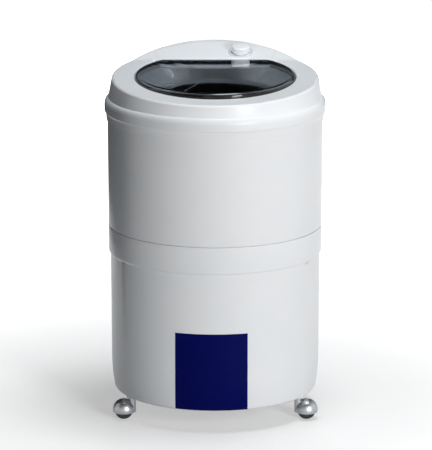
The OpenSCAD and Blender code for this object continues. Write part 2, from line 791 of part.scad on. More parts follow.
module cord_gland() {
    color(rubber_black) gland_place() revolve([
        [cord_r, -tray_t - 7], [gland_r + 2, -tray_t - 7], [gland_r + 2, -tray_t - 3], [gland_r, -tray_t - seat],
        [gland_r, seat], [gland_r + 4, seat], [gland_r + 3, 3], [2 * cord_r, 4], [cord_r + 1.5, 12.5], [cord_r, 12.5]
    ], small_fn);
}

// Casters: a ball wheel under a domed hood, trailing from an upright stem
post_out_r = 8;
hood_t = 1.6;
hood_cut_z = wheel_r - 5;
stem_foot_z = wheel_r + sqrt(pow(hood_r - hood_t, 2) - pow(trail - stem_r, 2)) + 1;
axle_r = 2.5;

module caster_place(i) {
    a = stem_angles[i];
    translate([caster_r * cos(a), caster_r * sin(a), 0]) rotate(trail_turns[i]) children();
}

module caster_hood(i) {
    inner_r = hood_r - hood_t;
    color(bright) caster_place(i) difference() {
        union() {
            translate([trail, 0, wheel_r]) sphere(r = hood_r, $fn = small_fn * 2);
            translate([0, 0, hood_cut_z]) cylinder(h = base_z - seat - hood_cut_z, r = post_out_r, $fn = small_fn);
        }
        difference() {
            translate([trail, 0, wheel_r]) sphere(r = inner_r, $fn = small_fn * 2);
            for (side = [-1, 1]) translate([trail, side * (inner_r - 1), wheel_r]) rotate([90, 0, 0])
                cylinder(h = 5, r = 6, center = true, $fn = small_fn);
        }
        translate([trail, 0, hood_cut_z - hood_r]) cube([4 * hood_r, 4 * hood_r, 2 * hood_r], center = true);
        translate([0, 0, stem_foot_z]) cylinder(h = 2 * hood_r, r = stem_r + fit, $fn = small_fn);
        translate([trail, 0, wheel_r]) rotate([90, 0, 0])
            cylinder(h = 2 * hood_r - 4, r = axle_r + fit, center = true, $fn = small_fn);
    }
}

module caster_stem(i) {
    color(steel) caster_place(i) translate([0, 0, stem_foot_z])
        cylinder(h = base_z + stem_depth - stem_foot_z - seat, r = stem_r, $fn = small_fn);
}

module caster_axle(i) {
    color(steel) caster_place(i) translate([trail, 0, wheel_r]) rotate([90, 0, 0])
        cylinder(h = 2 * hood_r - 4 - 2 * seat, r = axle_r, center = true, $fn = small_fn);
}

// The ball wheel: a flat tread between two domed flanks
module caster_wheel(i) {
    half = hood_r - hood_t - 6;
    color(rubber_black) caster_place(i) translate([trail, 0, wheel_r]) rotate([90, 0, 0]) revolve([
        [axle_r + fit, -half + 1], [7, -half + 1], [7, -half + 3], [wheel_r * 0.6, -half + 2],
        [wheel_r * 0.85, -half + 5], [wheel_r * 0.97, -half + 9], [wheel_r, -3], [wheel_r, 3],
        [wheel_r * 0.97, half - 9], [wheel_r * 0.85, half - 5], [wheel_r * 0.6, half - 2],
        [7, half - 3], [7, half - 1], [axle_r + fit, half - 1]
    ], small_fn * 2);
}

// Top cover: a ring whose section is lofted round the axis
crown_z = top_z + crown_h;
bead_z = top_z - bead_lap;
bead_top_z = bead_z + bead_h;
skirt_r = top_r - 1.7;
cover_seat_z = top_z + tub_rim_t;
open_r = lid_r + lid_gap;
fold_y = lid_back + lid_gap;
fold_blend = 3;
corner_turn = asin(fold_y / open_r);
seat_rib_h = 8.5;
lip_drop = lid_edge + seat + seat_rib_h;

// Height of the lid's top plane, and of the moulded top, at a distance behind the axis
function lid_top(y) = crown_z + lid_proud + lid_slope * y;
function lip_foot(y) = lid_top(y) - lip_drop;
function cover_top(y) = crown_z + top_slope * y;
function panel_top(y) = cover_top(fold_y) + panel_slope * (y - fold_y);
function crown_top(y) =
    y <= fold_y - fold_blend ? cover_top(y) :
    y >= fold_y + fold_blend ? panel_top(y) :
    cover_top(y) + (panel_slope - top_slope) * pow(y - fold_y + fold_blend, 2) / (4 * fold_blend);

// Plan radius of the opening: round at the front and sides, straight along the panel
function opening_at(a) = sin(a) > 0 ? min(open_r, fold_y / sin(a)) : open_r;

// The section's points at one turn of the loft, as [radius, height]
function crown_section(a) =
    let(s = sin(a), f = rim_fillet, hole = opening_at(a), rim_z = crown_top((rim_r - f) * s),
        outer_top = [for (k = [1 : 3]) let(r = rim_r - f + (hole + 1 - rim_r + f) * k / 3) [r, crown_top(r * s)]],
        under_top = [for (k = [2 : -1 : 0]) let(r = rim_r - f + (hole + wall - rim_r + f) * k / 2)
            [r, crown_top(r * s) - wall]])
    concat(
        [[top_r + joint_line, bead_z], [top_r + 2, bead_z], [bead_r - 2.6, bead_z + 7],
         [bead_r - 0.8, bead_z + 13], [bead_r, bead_z + 20], [bead_r, bead_top_z - 14], [bead_r - 1.5, bead_top_z - 8],
         [bead_r - 5, bead_top_z - 2.5], [skirt_r, bead_top_z + 1]],
        [for (k = [0 : 5]) [rim_r - f + f * cos(k * 18), rim_z - f + f * sin(k * 18)]],
        outer_top,
        [[hole, crown_top(hole * s) - 1], [hole, lip_foot(hole * s)], [hole + wall, lip_foot((hole + wall) * s)]],
        under_top,
        [[rim_r - wall, rim_z - f], [skirt_r - wall, bead_top_z + 1], [skirt_r - wall, cover_seat_z],
         [top_r + joint_line, cover_seat_z]]);

crown_turns = concat(
    [for (i = [0 : front_steps - 1]) 180 - corner_turn + (180 + 2 * corner_turn) * i / front_steps],
    [for (i = [0 : rear_steps - 1]) corner_turn + (180 - 2 * corner_turn) * i / rear_steps]);

// A closed ring from one section at each turn; the sections run anticlockwise in their own plane
module ring_loft(sections, turns) {
    n = len(turns);
    m = len(sections[0]);
    points = [for (i = [0 : n - 1], p = sections[i]) [p[0] * cos(turns[i]), p[0] * sin(turns[i]), p[1]]];
    faces = [for (i = [0 : n - 1], j = [0 : m - 1])
        let(a = i * m + j, b = i * m + (j + 1) % m, c = ((i + 1) % n) * m + (j + 1) % m, d = ((i + 1) % n) * m + j)
        each [[a, b, c], [a, c, d]]];
    polyhedron(points = points, faces = faces, convexity = 8);
}

module crown() {
    ring_loft([for (a = crown_turns) crown_section(a)], crown_turns);
}

// The control panel is the rear of the crown, between two seams that splay to the rear
panel_foot_z = bead_top_z + 17;
panel_corner_x = open_r * cos(corner_turn);
seam_splay = 0.29;

module panel_outline(gap) {
    x = panel_corner_x - gap;
    back = bead_r + 10;
    polygon([
        [-x, fold_y - 14], [x, fold_y - 14], [x, fold_y], [x + seam_splay * (back - fold_y), back],
        [-x - seam_splay * (back - fold_y), back], [-x, fold_y]
    ]);
}

module top_cover() {
    color(shell_white) difference() {
        union() {
            crown();
            in_lid_frame() hinge_axis(corner_x + 2, knuckle_w, knuckle_r);
        }
        translate([0, 0, panel_foot_z]) linear_extrude(2 * crown_h) panel_outline(0);
        in_lid_frame() hinge_axis(corner_x - 4, knuckle_w + 4, hinge_pin_r + fit);
    }
}

module control_panel() {
    color(shell_white) difference() {
        intersection() {
            crown();
            translate([0, 0, panel_foot_z + seat]) linear_extrude(2 * crown_h) panel_outline(joint_line);
        }
        on_panel() translate([0, 0, -10]) cylinder(h = 20, r = neck_r + seat, $fn = small_fn);
    }
}

// Frame of the sloping panel at the knob, its Z square to the surface
module on_panel() {
    y = fold_y + knob_back;
    translate([knob_x, y, panel_top(y)]) rotate([atan(panel_slope), 0, 0]) children();
}

// Lid: a shallow smoked tray. Its hinge lies close under the rear edge, so that the wide front clears the cover
lid_tilt = atan(lid_slope);
hinge_round = max(lid_t, hinge_pin_r + 1) + 0.2;
hinge_back = lid_back - hinge_round;
pin_boss_r = 5;
pin_root_x = sqrt(pow(lid_r, 2) - pow(hinge_back, 2)) - 17;
corner_x = sqrt(pow(open_r, 2) - pow(hinge_back, 2));
knuckle_r = hinge_pin_r + 1.5;
knuckle_w = 7;

module in_lid_frame() {
    translate([0, 0, crown_z + lid_proud]) rotate([lid_tilt, 0, 0]) children();
}

module lid_block(inset, drop) {
    intersection() {
        revolve(concat(
            [[0, -drop], [lid_r - inset, -drop]],
            arc([lid_r - lid_round, -lid_round], lid_round - inset, 0, 90, 6),
            [[0, -inset]]), 180);
        rotate([90, 0, 90]) linear_extrude(2 * lid_r + 2, center = true) polygon(concat(
            [[-lid_r - 1, -drop - 1], [lid_back - inset, -drop - 1]],
            arc([hinge_back, -hinge_round], hinge_round - inset, 0, 90, 6),
            [[-lid_r - 1, -inset]]));
    }
}

module hinge_axis(x, length, r) {
    for (side = [-1, 1]) translate([side * x, hinge_back, -hinge_round]) rotate([0, side * 90, 0])
        cylinder(h = length, r = r, $fn = small_fn);
}

module lid() {
    color(smoke, 0.6) in_lid_frame() difference() {
        union() {
            difference() {
                lid_block(0, lid_edge);
                lid_block(lid_t, lid_edge + 1);
            }
            intersection() {
                hinge_axis(pin_root_x - 4, 30, pin_boss_r);
                lid_block(lid_t / 3, lid_edge - 2);
            }
        }
        hinge_axis(pin_root_x, 40, hinge_pin_r + fit);
    }
}

module hinge_pins() {
    color(steel) in_lid_frame() hinge_axis(pin_root_x + seat, corner_x + knuckle_w - 0.5 - pin_root_x, hinge_pin_r);
}

// Inner collar: a flange under the opening's lip, and a funnel from it to the round mouth
mouth_z = top_z + mouth_rise;
collar_flange_drop = lip_drop * cos(lid_tilt);
funnel_r = lid_r - 8;
funnel_back = lid_back - 7;
rib_back = lid_back - 24;
neck_h = 7;
funnel_fn = 72;

module d_shape(r, back) {
    difference() {
        circle(r = r, $fn = funnel_fn);
        translate([-r - 1, back]) square([2 * r + 2, r]);
    }
}

module inner_collar() {
    color(collar_grey) difference() {
        union() {
            in_lid_frame() translate([0, 0, -collar_flange_drop - wall]) linear_extrude(wall)
                d_shape(open_r + wall + 2.5, fold_y + wall + 1.5);
            funnel(wall, -0.8 * wall, -0.2 * wall);
            translate([0, 0, mouth_z - neck_h]) cylinder(h = neck_h + 0.5, r = mouth_r + wall + 0.3, $fn = round_fn);
            in_lid_frame() seat_rib();
        }
        funnel(0, -0.5 * wall, 1);
        translate([0, 0, mouth_z - neck_h - 1]) cylinder(h = neck_h + 0.5, r = mouth_r + 0.3, $fn = round_fn);
    }
}

// The funnel's solid, grown by a wall, with a top slab that ends inside the flange or above it
module funnel(grow, low, high) {
    hull() {
        in_lid_frame() translate([0, 0, -collar_flange_drop + low])
            linear_extrude(high - low) d_shape(funnel_r + grow, funnel_back + grow);
        translate([0, 0, grow > 0 ? mouth_z : mouth_z - 1]) cylinder(h = 1, r = mouth_r + grow, $fn = funnel_fn);
    }
}

module seat_rib() {
    r = lid_r - 0.5;
    translate([0, 0, -collar_flange_drop - 0.5]) intersection() {
        tube(r, r - wall, seat_rib_h + 0.5);
        translate([-r, -r, -1]) cube([2 * r, r + rib_back, 2 * seat_rib_h]);
    }
}

// Controls: a spring timer under the panel, its spindle, the dial and the knob
neck_r = spindle_r + 4;
panel_depth = wall * cos(atan(panel_slope));
timer_w = 50;
timer_share = 0.9;
timer_room = sqrt(pow(rim_r, 2) - pow(knob_x + timer_w / 2, 2)) - fold_y - knob_back;
timer_d = timer_share * timer_room;
timer_h = 32;
dial_t = 1;
knob_gap = 0.5;

module timer_body() {
    top = -panel_depth - seat;
    color("#c9cdd0") on_panel() difference() {
        union() {
            translate([-timer_w / 2, -timer_d / 2, top - timer_h]) cube([timer_w, timer_d, timer_h - 6]);
            translate([0, 0, top - 8]) cylinder(h = 8, r = timer_d / 2 - 2, $fn = small_fn);
            translate([0, 0, top - 1]) cylinder(h = -top + 0.6, r = neck_r, $fn = small_fn);
            for (x = [-16, 0, 16]) translate([x - 3, -0.4, top - timer_h - 8]) cube([6, 0.8, 9]);
        }
        translate([0, 0, top - timer_h + 6]) cylinder(h = timer_h + 10, r = spindle_r + fit, $fn = small_fn);
    }
}

module timer_spindle() {
    foot = -panel_depth - seat - timer_h + 6 + seat;
    color(steel) on_panel() translate([0, 0, foot]) cylinder(h = knob_h - 5 - foot, r = spindle_r, $fn = small_fn);
}

module dial_ring() {
    color("#dfe3e7") on_panel() translate([0, 0, fit]) difference() {
        cylinder(h = dial_t, r1 = dial_r, r2 = dial_r - 0.6, $fn = small_fn * 2);
        translate([0, 0, -1]) cylinder(h = 4, r = neck_r + seat, $fn = small_fn);
    }
}

module timer_knob() {
    foot = dial_t + knob_gap;
    color(shell_white) on_panel() difference() {
        revolve(concat(
            [[0, foot], [knob_r - 1, foot], [knob_r - 1, foot + 2.5], [knob_r, foot + 3.2]],
            arc([knob_r - 5, knob_h - 4], 4, 0, 90, 6),
            [[0, knob_h + 0.6]]), small_fn * 2);
        translate([0, 0, foot - 1]) difference() {
            cylinder(h = knob_h - 4 - foot, r = knob_r - 3.5, $fn = small_fn * 2);
            cylinder(h = knob_h, r = spindle_r + 3, $fn = small_fn);
        }
        translate([0, 0, -1]) cylinder(h = knob_h - 5 + 1, r = spindle_r + fit, $fn = small_fn);
        translate([0, knob_r - 4, knob_h]) cube([1.6, 9, 2], center = true);
    }
}

lower_shell();
upper_shell();
top_cover();
control_panel();
inner_collar();
lid();
hinge_pins();
timer_body();
timer_spindle();
dial_ring();
timer_knob();
tub();
tub_floor();
pulsator();
pulsator_screw();
shaft_seal();
bearing_housing();
bearing_at(bearing_zs[1]);  // upper_bearing
bearing_at(bearing_zs[0]);  // lower_bearing
drive_shaft();
drive_pulley();
pulley_nut();
drive_belt();
motor_pulley();
motor_housing();
motor_stator();
motor_rotor();
motor_bearings();
motor_grommets();
motor_bolts();
drive_plate();
plate_bolts();
housing_bolts();
base_tray();
base_screws();
capacitor();
capacitor_clip();
drain_pipe();
drain_outlet();
cord_gland();
caster_hood(0);  // hood_left
caster_stem(0);  // stem_left
caster_axle(0);  // axle_left
caster_wheel(0);  // wheel_left
caster_hood(1);  // hood_right
caster_stem(1);  // stem_right
caster_axle(1);  // axle_right
caster_wheel(1);  // wheel_right
caster_hood(2);  // hood_rear
caster_stem(2);  // stem_rear
caster_axle(2);  // axle_rear
caster_wheel(2);  // wheel_rear
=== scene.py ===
"""Round top-loading washing machine on casters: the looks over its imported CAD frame.

Each operator makes one piece or group of like pieces in the CAD's own frame, in metres. Sizes in the
code are in millimetres and are turned to metres in one place, where a mesh is made.
"""

import json
import math

import bmesh
import bpy
from bpy.props import FloatProperty, FloatVectorProperty, IntProperty, PointerProperty
from mathutils import Matrix, Vector

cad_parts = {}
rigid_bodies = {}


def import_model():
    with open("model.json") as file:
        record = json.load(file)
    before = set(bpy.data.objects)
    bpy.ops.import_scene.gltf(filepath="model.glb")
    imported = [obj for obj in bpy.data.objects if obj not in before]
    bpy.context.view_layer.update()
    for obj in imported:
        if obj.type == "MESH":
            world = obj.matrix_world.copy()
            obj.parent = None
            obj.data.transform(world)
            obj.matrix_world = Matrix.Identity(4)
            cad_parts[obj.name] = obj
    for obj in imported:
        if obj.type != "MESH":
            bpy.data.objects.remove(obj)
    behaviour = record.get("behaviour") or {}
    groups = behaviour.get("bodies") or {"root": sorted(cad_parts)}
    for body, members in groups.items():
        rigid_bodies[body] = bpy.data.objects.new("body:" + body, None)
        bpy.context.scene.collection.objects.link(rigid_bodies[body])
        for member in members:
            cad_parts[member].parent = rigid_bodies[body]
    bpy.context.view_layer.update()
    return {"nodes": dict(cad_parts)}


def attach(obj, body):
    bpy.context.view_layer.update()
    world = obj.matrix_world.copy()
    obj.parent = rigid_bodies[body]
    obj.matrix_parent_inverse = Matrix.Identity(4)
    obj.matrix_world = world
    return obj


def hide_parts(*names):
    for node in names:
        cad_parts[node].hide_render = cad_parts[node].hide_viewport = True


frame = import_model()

bl_info = {
    "name": "Round Washing Machine",
    "version": (1, 0, 0),
    "blender": (4, 5, 0),
    "location": "View3D > Sidebar > Washer",
    "description": "Finishes a round washing machine over its CAD frame",
    "category": "Object",
}

MM = 0.001
# Points closer than this, in metres, are one point
WELD = 2e-6


def linear(code):
    """An sRGB hex colour as linear RGBA. A colour from the settings is linear already."""
    if not isinstance(code, str):
        return list(code)
    parts = [int(code[i : i + 2], 16) / 255 for i in (1, 3, 5)]
    return [c / 12.92 if c <= 0.04045 else ((c + 0.055) / 1.055) ** 2.4 for c in parts] + [1]


# ---------------------------------------------------------------- sizes shared with the CAD, in mm
# The shells: walls, heights, radii, caster bosses, windows and latch hooks
WALL = 3
BASE_Z, LEDGE_Z, SEAM_Z, TOP_Z = 47, 352, 407, 672
SHELL_R, TOP_R, WAIST_R, TUCK_R, FOOT_R, FLANGE_R = 228, 229.5, 224.2, 222.66, 217.2, 175.2
CORNER_R, TUCK_H, STEP, STEP_DROP = 9, 70, 3.8, 6
SPIGOT_R, SHOULDER_Z = 224.7, 408.2
STEM_ANGLES = (210, 330, 90)
CASTER_R, BOSS_R, BOSS_FOOT_R, BOSS_H, STEM_HOLE_R, STEM_HOLE_H = 205, 16.5, 12, 44, 4.05, 38
WINDOW, WINDOW_DROP = (24, 14, 5), 5.5
SCREW_R, SCREW_RING_R, SCREWS = 2.3, FLANGE_R + 6, 6
PORT_R, PORT_TURN, PORT_RISE, PORT_REACH = 14.6, 115, 52, 25
SEAM_ROUND, HOOK_GAP, HOOK_T, HOOK_TIP, HOOK_TURN = 0.9, 0.3, 2.7, 7.5, 1.3

# The top with its opening and seams, the lid, its hinge and the funnel
BEAD_R, BEAD_Z, BEAD_TOP, SKIRT_R, RIM_R, RIM_FILLET = 236, 637, 683, 227.8, 221, 6
CROWN_Z, TOP_SLOPE, PANEL_SLOPE = 727, 0.08, 0.29
OPEN_R, FOLD_Y, FOLD_BLEND, LIP_DROP = 172.5, 123.5, 3, 20.8
PANEL_FOOT_Z, SEAM_SPLAY = 700, 0.29
LID_R, LID_BACK, LID_EDGE, LID_ROUND, LID_T, LID_PROUD, LID_SLOPE = 171, 122, 12, 8, 3, 6, 0.049
HINGE_ROUND = 3.2
HINGE_BACK = LID_BACK - HINGE_ROUND
LID_TILT = math.atan(LID_SLOPE)
MOUTH_R, MOUTH_Z = 127, 691
FUNNEL_R, FUNNEL_BACK, NECK_H = 163, 115, 7
LIP_ROUND, PANEL_GAP, LID_BOSS_R, PIN_HOLE_R, KNUCKLE_R = 1.2, 0.4, 5, 1.55, 3
CORNER_TURN = math.degrees(math.asin(FOLD_Y / OPEN_R))
PANEL_CORNER_X = OPEN_R * math.cos(math.radians(CORNER_TURN))

# The knob, and its dial with a scale whose turns are in degrees
KNOB_X, KNOB_BACK, KNOB_R, KNOB_H, DIAL_R, DIAL_T = 55, 36, 20, 17, 27, 1.05
SPINDLE_HOLE_R, NUMBER_R, NUMBER_SIZE, TICK_W = 7.3, 22, 3.0, 0.6
SCALE_START, SCALE_SWEEP, SCALE_STEP = 45, 270, 18


def crown_top(y):
    """Height of the moulded top at a distance behind the axis: two planes with a soft fold."""
    front = CROWN_Z + TOP_SLOPE * y
    if y <= FOLD_Y - FOLD_BLEND:
        return front
    if y >= FOLD_Y + FOLD_BLEND:
        return CROWN_Z + TOP_SLOPE * FOLD_Y + PANEL_SLOPE * (y - FOLD_Y)
    return front + (PANEL_SLOPE - TOP_SLOPE) * (y - FOLD_Y + FOLD_BLEND) ** 2 / (4 * FOLD_BLEND)


def lid_top(y):
    """Height of the lid's top plane at a distance behind the axis."""
    return CROWN_Z + LID_PROUD + LID_SLOPE * y


def arc(cx, cy, r, start, end, steps):
    """Points of a circular arc, from start to end in degrees."""
    turns = [math.radians(start + (end - start) * i / steps) for i in range(steps + 1)]
    return [(cx + r * math.cos(t), cy + r * math.sin(t)) for t in turns]


def lid_frame():
    """Matrix of the lid's own frame, in mm: its plane tilts a little towards the front."""
    return Matrix.Translation((0, 0, CROWN_Z + LID_PROUD)) @ Matrix.Rotation(LID_TILT, 4, "X")


def panel_frame():
    """Matrix of the sloping panel at the knob, in mm, its Z square to the surface."""
    y = FOLD_Y + KNOB_BACK
    slope = Matrix.Rotation(math.atan(PANEL_SLOPE), 4, "X")
    return Matrix.Translation((KNOB_X, y, crown_top(y))) @ slope


# ---------------------------------------------------------------- materials
def add_node(tree, kind, inputs=None, **settings):
    """Adds a node with its settings; an input given a socket is linked and any other value is set."""
    node = tree.nodes.new(kind)
    for key, value in settings.items():
        setattr(node, key, value)
    for key, value in (inputs or {}).items():
        if isinstance(value, bpy.types.NodeSocket):
            tree.links.new(value, node.inputs[key])
        else:
            node.inputs[key].default_value = value
    return node


def blank(name):
    """A new material with an empty tree, the tree, and Object coordinates in it."""
    made = bpy.data.materials.new(name)
    made.use_nodes = True
    made.node_tree.nodes.clear()
    return made, made.node_tree, add_node(made.node_tree, "ShaderNodeTexCoord").outputs["Object"]


def finish_surface(name, colours, cloud, gloss, relief, lay=(1, 1, 1), **sockets):
    """A surface whose shade, gloss and relief each follow noise of a real size, in millimetres.

    colours are the two shades that cloud, a patch size, mixes. gloss is a patch size with the lowest and
    highest roughness, relief is a grain size with its depth, and lay stretches the grain along an axis.
    """
    made, tree, place = blank(name)
    in_mm = add_node(tree, "ShaderNodeVectorMath", {0: place, "Scale": 1 / MM}, operation="SCALE")
    laid = add_node(tree, "ShaderNodeVectorMath", {0: in_mm.outputs[0], 1: lay}, operation="MULTIPLY")
    patch = add_node(
        tree, "ShaderNodeTexNoise", {"Vector": in_mm.outputs[0], "Scale": 1 / cloud, "Detail": 4.0}
    )
    tone = add_node(tree, "ShaderNodeMapRange", {0: patch.outputs[0], 1: 0.3, 2: 0.7})
    shades = {0: tone.outputs[0], 6: linear(colours[0]), 7: linear(colours[1])}
    shade = add_node(tree, "ShaderNodeMix", shades, data_type="RGBA")
    wear = add_node(
        tree, "ShaderNodeTexNoise", {"Vector": laid.outputs[0], "Scale": 1 / gloss[0], "Detail": 4.0}
    )
    rough = add_node(
        tree, "ShaderNodeMapRange", {0: wear.outputs[0], 1: 0.3, 2: 0.7, 3: gloss[1], 4: gloss[2]}
    )
    grain = add_node(
        tree, "ShaderNodeTexNoise", {"Vector": laid.outputs[0], "Scale": 1 / relief[0], "Detail": 3.0}
    )
    skin = add_node(tree, "ShaderNodeBump", {"Height": grain.outputs[0], "Distance": relief[1] * MM})
    given = {"Base Color": shade.outputs[2], "Roughness": rough.outputs[0], "Normal": skin.outputs[0]}
    shader = add_node(tree, "ShaderNodeBsdfPrincipled", {**given, **sockets})
    add_node(tree, "ShaderNodeOutputMaterial", {"Surface": shader.outputs[0]})
    return made


def patterned(made, texture, inputs, colours, rough, depth):
    """Lays a texture in millimetres over a finished surface: it sets the shade, gloss and relief."""
    tree = made.node_tree
    shader = tree.nodes["Principled BSDF"]
    in_mm = tree.nodes["Vector Math"].outputs[0]
    cells = add_node(tree, texture, {"Vector": in_mm, **inputs})
    tone = add_node(tree, "ShaderNodeSeparateColor", {0: cells.outputs["Color"]}).outputs[0]
    shades = {0: tone, 6: linear(colours[0]), 7: linear(colours[1])}
    shade = add_node(tree, "ShaderNodeMix", shades, data_type="RGBA")
    gloss = add_node(tree, "ShaderNodeMapRange", {0: tone, 3: rough[0], 4: rough[1]})
    skin = tree.nodes["Bump"].outputs[0]
    ridge = add_node(tree, "ShaderNodeBump", {"Height": tone, "Distance": depth * MM, "Normal": skin})
    tree.links.new(shade.outputs[2], shader.inputs["Base Color"])
    tree.links.new(gloss.outputs[0], shader.inputs["Roughness"])
    tree.links.new(ridge.outputs[0], shader.inputs["Normal"])
    return made


def let_light_in(made, tint):
    """Lets the lamps' light through a clear material, tinted, so that it reaches what is behind."""
    tree = made.node_tree
    shadow = add_node(tree, "ShaderNodeLightPath").outputs["Is Shadow Ray"]
    film = add_node(tree, "ShaderNodeBsdfTransparent", {"Color": linear(tint)}).outputs[0]
    solid = tree.nodes["Principled BSDF"].outputs[0]
    both = add_node(tree, "ShaderNodeMixShader", {0: shadow, 1: solid, 2: film}).outputs[0]
    tree.links.new(both, tree.nodes["Material Output"].inputs["Surface"])


def darken_edge(made, reach, slope, depth, shade):
    """Paints shade into a clear material's tint where it is seen edge on.

    That is beyond a reach from the axis, or more than a depth below a top with a slope. The dark tint is
    painted shade, which stands in for the light lost on the long path through the thick rim and the shade on
    its side.
    """
    tree = made.node_tree
    shader, in_mm = tree.nodes["Principled BSDF"], tree.nodes["Vector Math"].outputs[0]
    flat = add_node(tree, "ShaderNodeVectorMath", {0: in_mm, 1: (1, 1, 0)}, operation="MULTIPLY").outputs[0]
    radius = add_node(tree, "ShaderNodeVectorMath", {0: flat}, operation="LENGTH").outputs["Value"]
    fall = {0: in_mm, 1: (0, slope, -1)}
    sunk = add_node(tree, "ShaderNodeVectorMath", fall, operation="DOT_PRODUCT").outputs["Value"]
    rim = add_node(tree, "ShaderNodeMapRange", {0: radius, 1: reach, 2: reach + 5}).outputs[0]
    skirt = add_node(tree, "ShaderNodeMapRange", {0: sunk, 1: depth, 2: depth + 1.5}).outputs[0]
    edge = add_node(tree, "ShaderNodeMath", {0: rim, 1: skirt}, operation="MAXIMUM").outputs[0]
    # Painted shade: the tint turns to the dark shade over the rim and the skirt
    shades = {0: edge, 6: tree.nodes["Mix"].outputs[2], 7: linear(shade)}
    tint = add_node(tree, "ShaderNodeMix", shades, data_type="RGBA")
    tree.links.new(tint.outputs[2], shader.inputs["Base Color"])


def make_materials(settings):
    """Every finish on the machine, by a short name."""
    metal = {"Metallic": 1.0}
    plastic = {"IOR": 1.53}
    polypropylene = {"IOR": 1.49}
    made = {
        # ABS out of polished tools: clean cool white, with a soft wide sheen and a barely uneven skin
        "white": finish_surface(
            "moulded_white_abs",
            (settings.shell_colour, "#e9ecef"),
            90,
            (30, 0.28, 0.33),
            (2.2, 0.002),
            **{"IOR": 1.53, "Specular IOR Level": 0.2},
        ),
        # The knob's ABS, out of a finer tool: brighter and closer in gloss
        "knob": finish_surface(
            "polished_white_abs",
            (settings.knob_colour, "#e9ebee"),
            18,
            (6, 0.18, 0.26),
            (1.2, 0.004),
            **plastic,
        ),
        # Grey polypropylene: a waxy half-gloss with soft flow marks towards the mouth
        "collar": finish_surface(
            "moulded_grey_polypropylene",
            (settings.funnel_colour, "#989ca0"),
            45,
            (12, 0.3, 0.4),
            (1.6, 0.01),
            **polypropylene,
        ),
        # Charcoal polypropylene of the tub, matt from a blasted tool
        "tub": finish_surface(
            "moulded_charcoal_polypropylene",
            ("#1d1f23", "#17191c"),
            70,
            (15, 0.55, 0.66),
            (1.8, 0.015),
            **{"IOR": 1.49, "Specular IOR Level": 0.08},
        ),
        # Pale polypropylene of the tray, dull, with a coarse texture on its face
        "tray": finish_surface(
            "moulded_pale_polypropylene",
            ("#d3d7da", "#c8cdd1"),
            50,
            (14, 0.44, 0.56),
            (2.0, 0.025),
            **polypropylene,
        ),
        # Black nylon: close-grained and half matt
        "nylon": finish_surface(
            "moulded_black_nylon", ("#1c1e21", "#26292c"), 20, (6, 0.38, 0.52), (1.0, 0.01), **plastic
        ),
        # The dial's scale plate: satin styrene, a pale cool grey
        "dial": finish_surface(
            "satin_grey_styrene", ("#dde2e6", "#d6dce1"), 14, (5, 0.3, 0.38), (0.8, 0.003), **plastic
        ),
        # Pad-printed ink of the dial's marks: slate, flat and a little broken at the edges
        "ink": finish_surface(
            "pad_printed_ink", ("#2b3a43", "#384750"), 3, (2, 0.5, 0.6), (0.5, 0.002), **plastic
        ),
        # Stoved enamel on the motor's pressed can: near black, half gloss, with a slight orange peel
        "can": finish_surface(
            "black_enamelled_steel", ("#24272b", "#1d2023"), 30, (8, 0.3, 0.42), (1.4, 0.02), **plastic
        ),
        # Turned steel: fine rings round the shafts, which stretch the light along them
        "steel": finish_surface(
            "turned_steel", ("#a9adb1", "#bfc3c7"), 16, (1, 0.18, 0.38), (0.6, 0.006), (0.2, 0.2, 3), **metal
        ),
        # Zinc plate on screws, nuts and pins: bright, faintly blue, dull in small patches
        "zinc": finish_surface(
            "zinc_plated_steel", ("#aeb6c0", "#c8cdd2"), 10, (3, 0.2, 0.42), (0.8, 0.01), **metal
        ),
        # Nickel plate on the casters' pressed hoods: a satin grey that spreads the light over the dome
        "hood": finish_surface(
            "satin_nickel_plated_steel",
            (settings.hood_colour, "#b2b5b8"),
            12,
            (3, 0.34, 0.46),
            (0.9, 0.01),
            (1, 1, 0.3),
            **metal,
        ),
        # Die-cast aluminium: a dull silver skin, gritty from the die
        "cast": finish_surface(
            "cast_aluminium", ("#8f9599", "#b3b8bb"), 22, (2, 0.42, 0.62), (1.2, 0.12), **metal
        ),
        # Hard rubber of the wheels: near black, with a dusty bloom in patches
        "wheel": finish_surface("hard_black_rubber", ("#141517", "#26282b"), 9, (3, 0.42, 0.6), (0.7, 0.04)),
        # Soft rubber of the belt, seals, hose and gland: matt and slightly grey
        "rubber": finish_surface(
            "soft_black_rubber", ("#1b1b1d", "#2c2d30"), 9, (3, 0.58, 0.74), (0.7, 0.05)
        ),
        # Vinyl film: an even navy blue under a gloss face, faintly wavy where it is stuck down
        "label": finish_surface(
            "printed_vinyl_film",
            (settings.label_colour, "#010752"),
            8,
            (12, 0.5, 0.6),
            (26, 0.05),
            **{"IOR": 1.5, "Specular IOR Level": 0.05},
        ),
        # Smoked polystyrene, moulded clear: dark grey to look through, with a hard, wet gloss
        "smoked": finish_surface(
            "smoked_clear_polystyrene",
            (settings.lid_colour, "#ced1d4"),
            60,
            (8, 0.01, 0.05),
            (40, 0.04),
            **{"Transmission Weight": 1.0, "IOR": 1.45},
        ),
    }
    let_light_in(made["smoked"], "#dcdfe2")
    # Painted shade: the lid's tint darkens to #3c4045 near its rim, which stands in for the light lost
    # through the thick rim seen edge on
    darken_edge(made["smoked"], LID_R - 6, LID_SLOPE, 4.6 - CROWN_Z - LID_PROUD, "#3c4045")
    # Hot-dip galvanised sheet: pale and dark spangles some 8 mm wide on a dull grey
    shades = ("#949ba0", "#c6ccd0")
    made["galvanised"] = patterned(
        finish_surface("galvanised_steel_sheet", shades, 8, (8, 0.3, 0.5), (2.5, 0.02), **metal),
        "ShaderNodeTexVoronoi",
        {"Scale": 1 / 8},
        shades,
        (0.32, 0.5),
        0.01,
    )
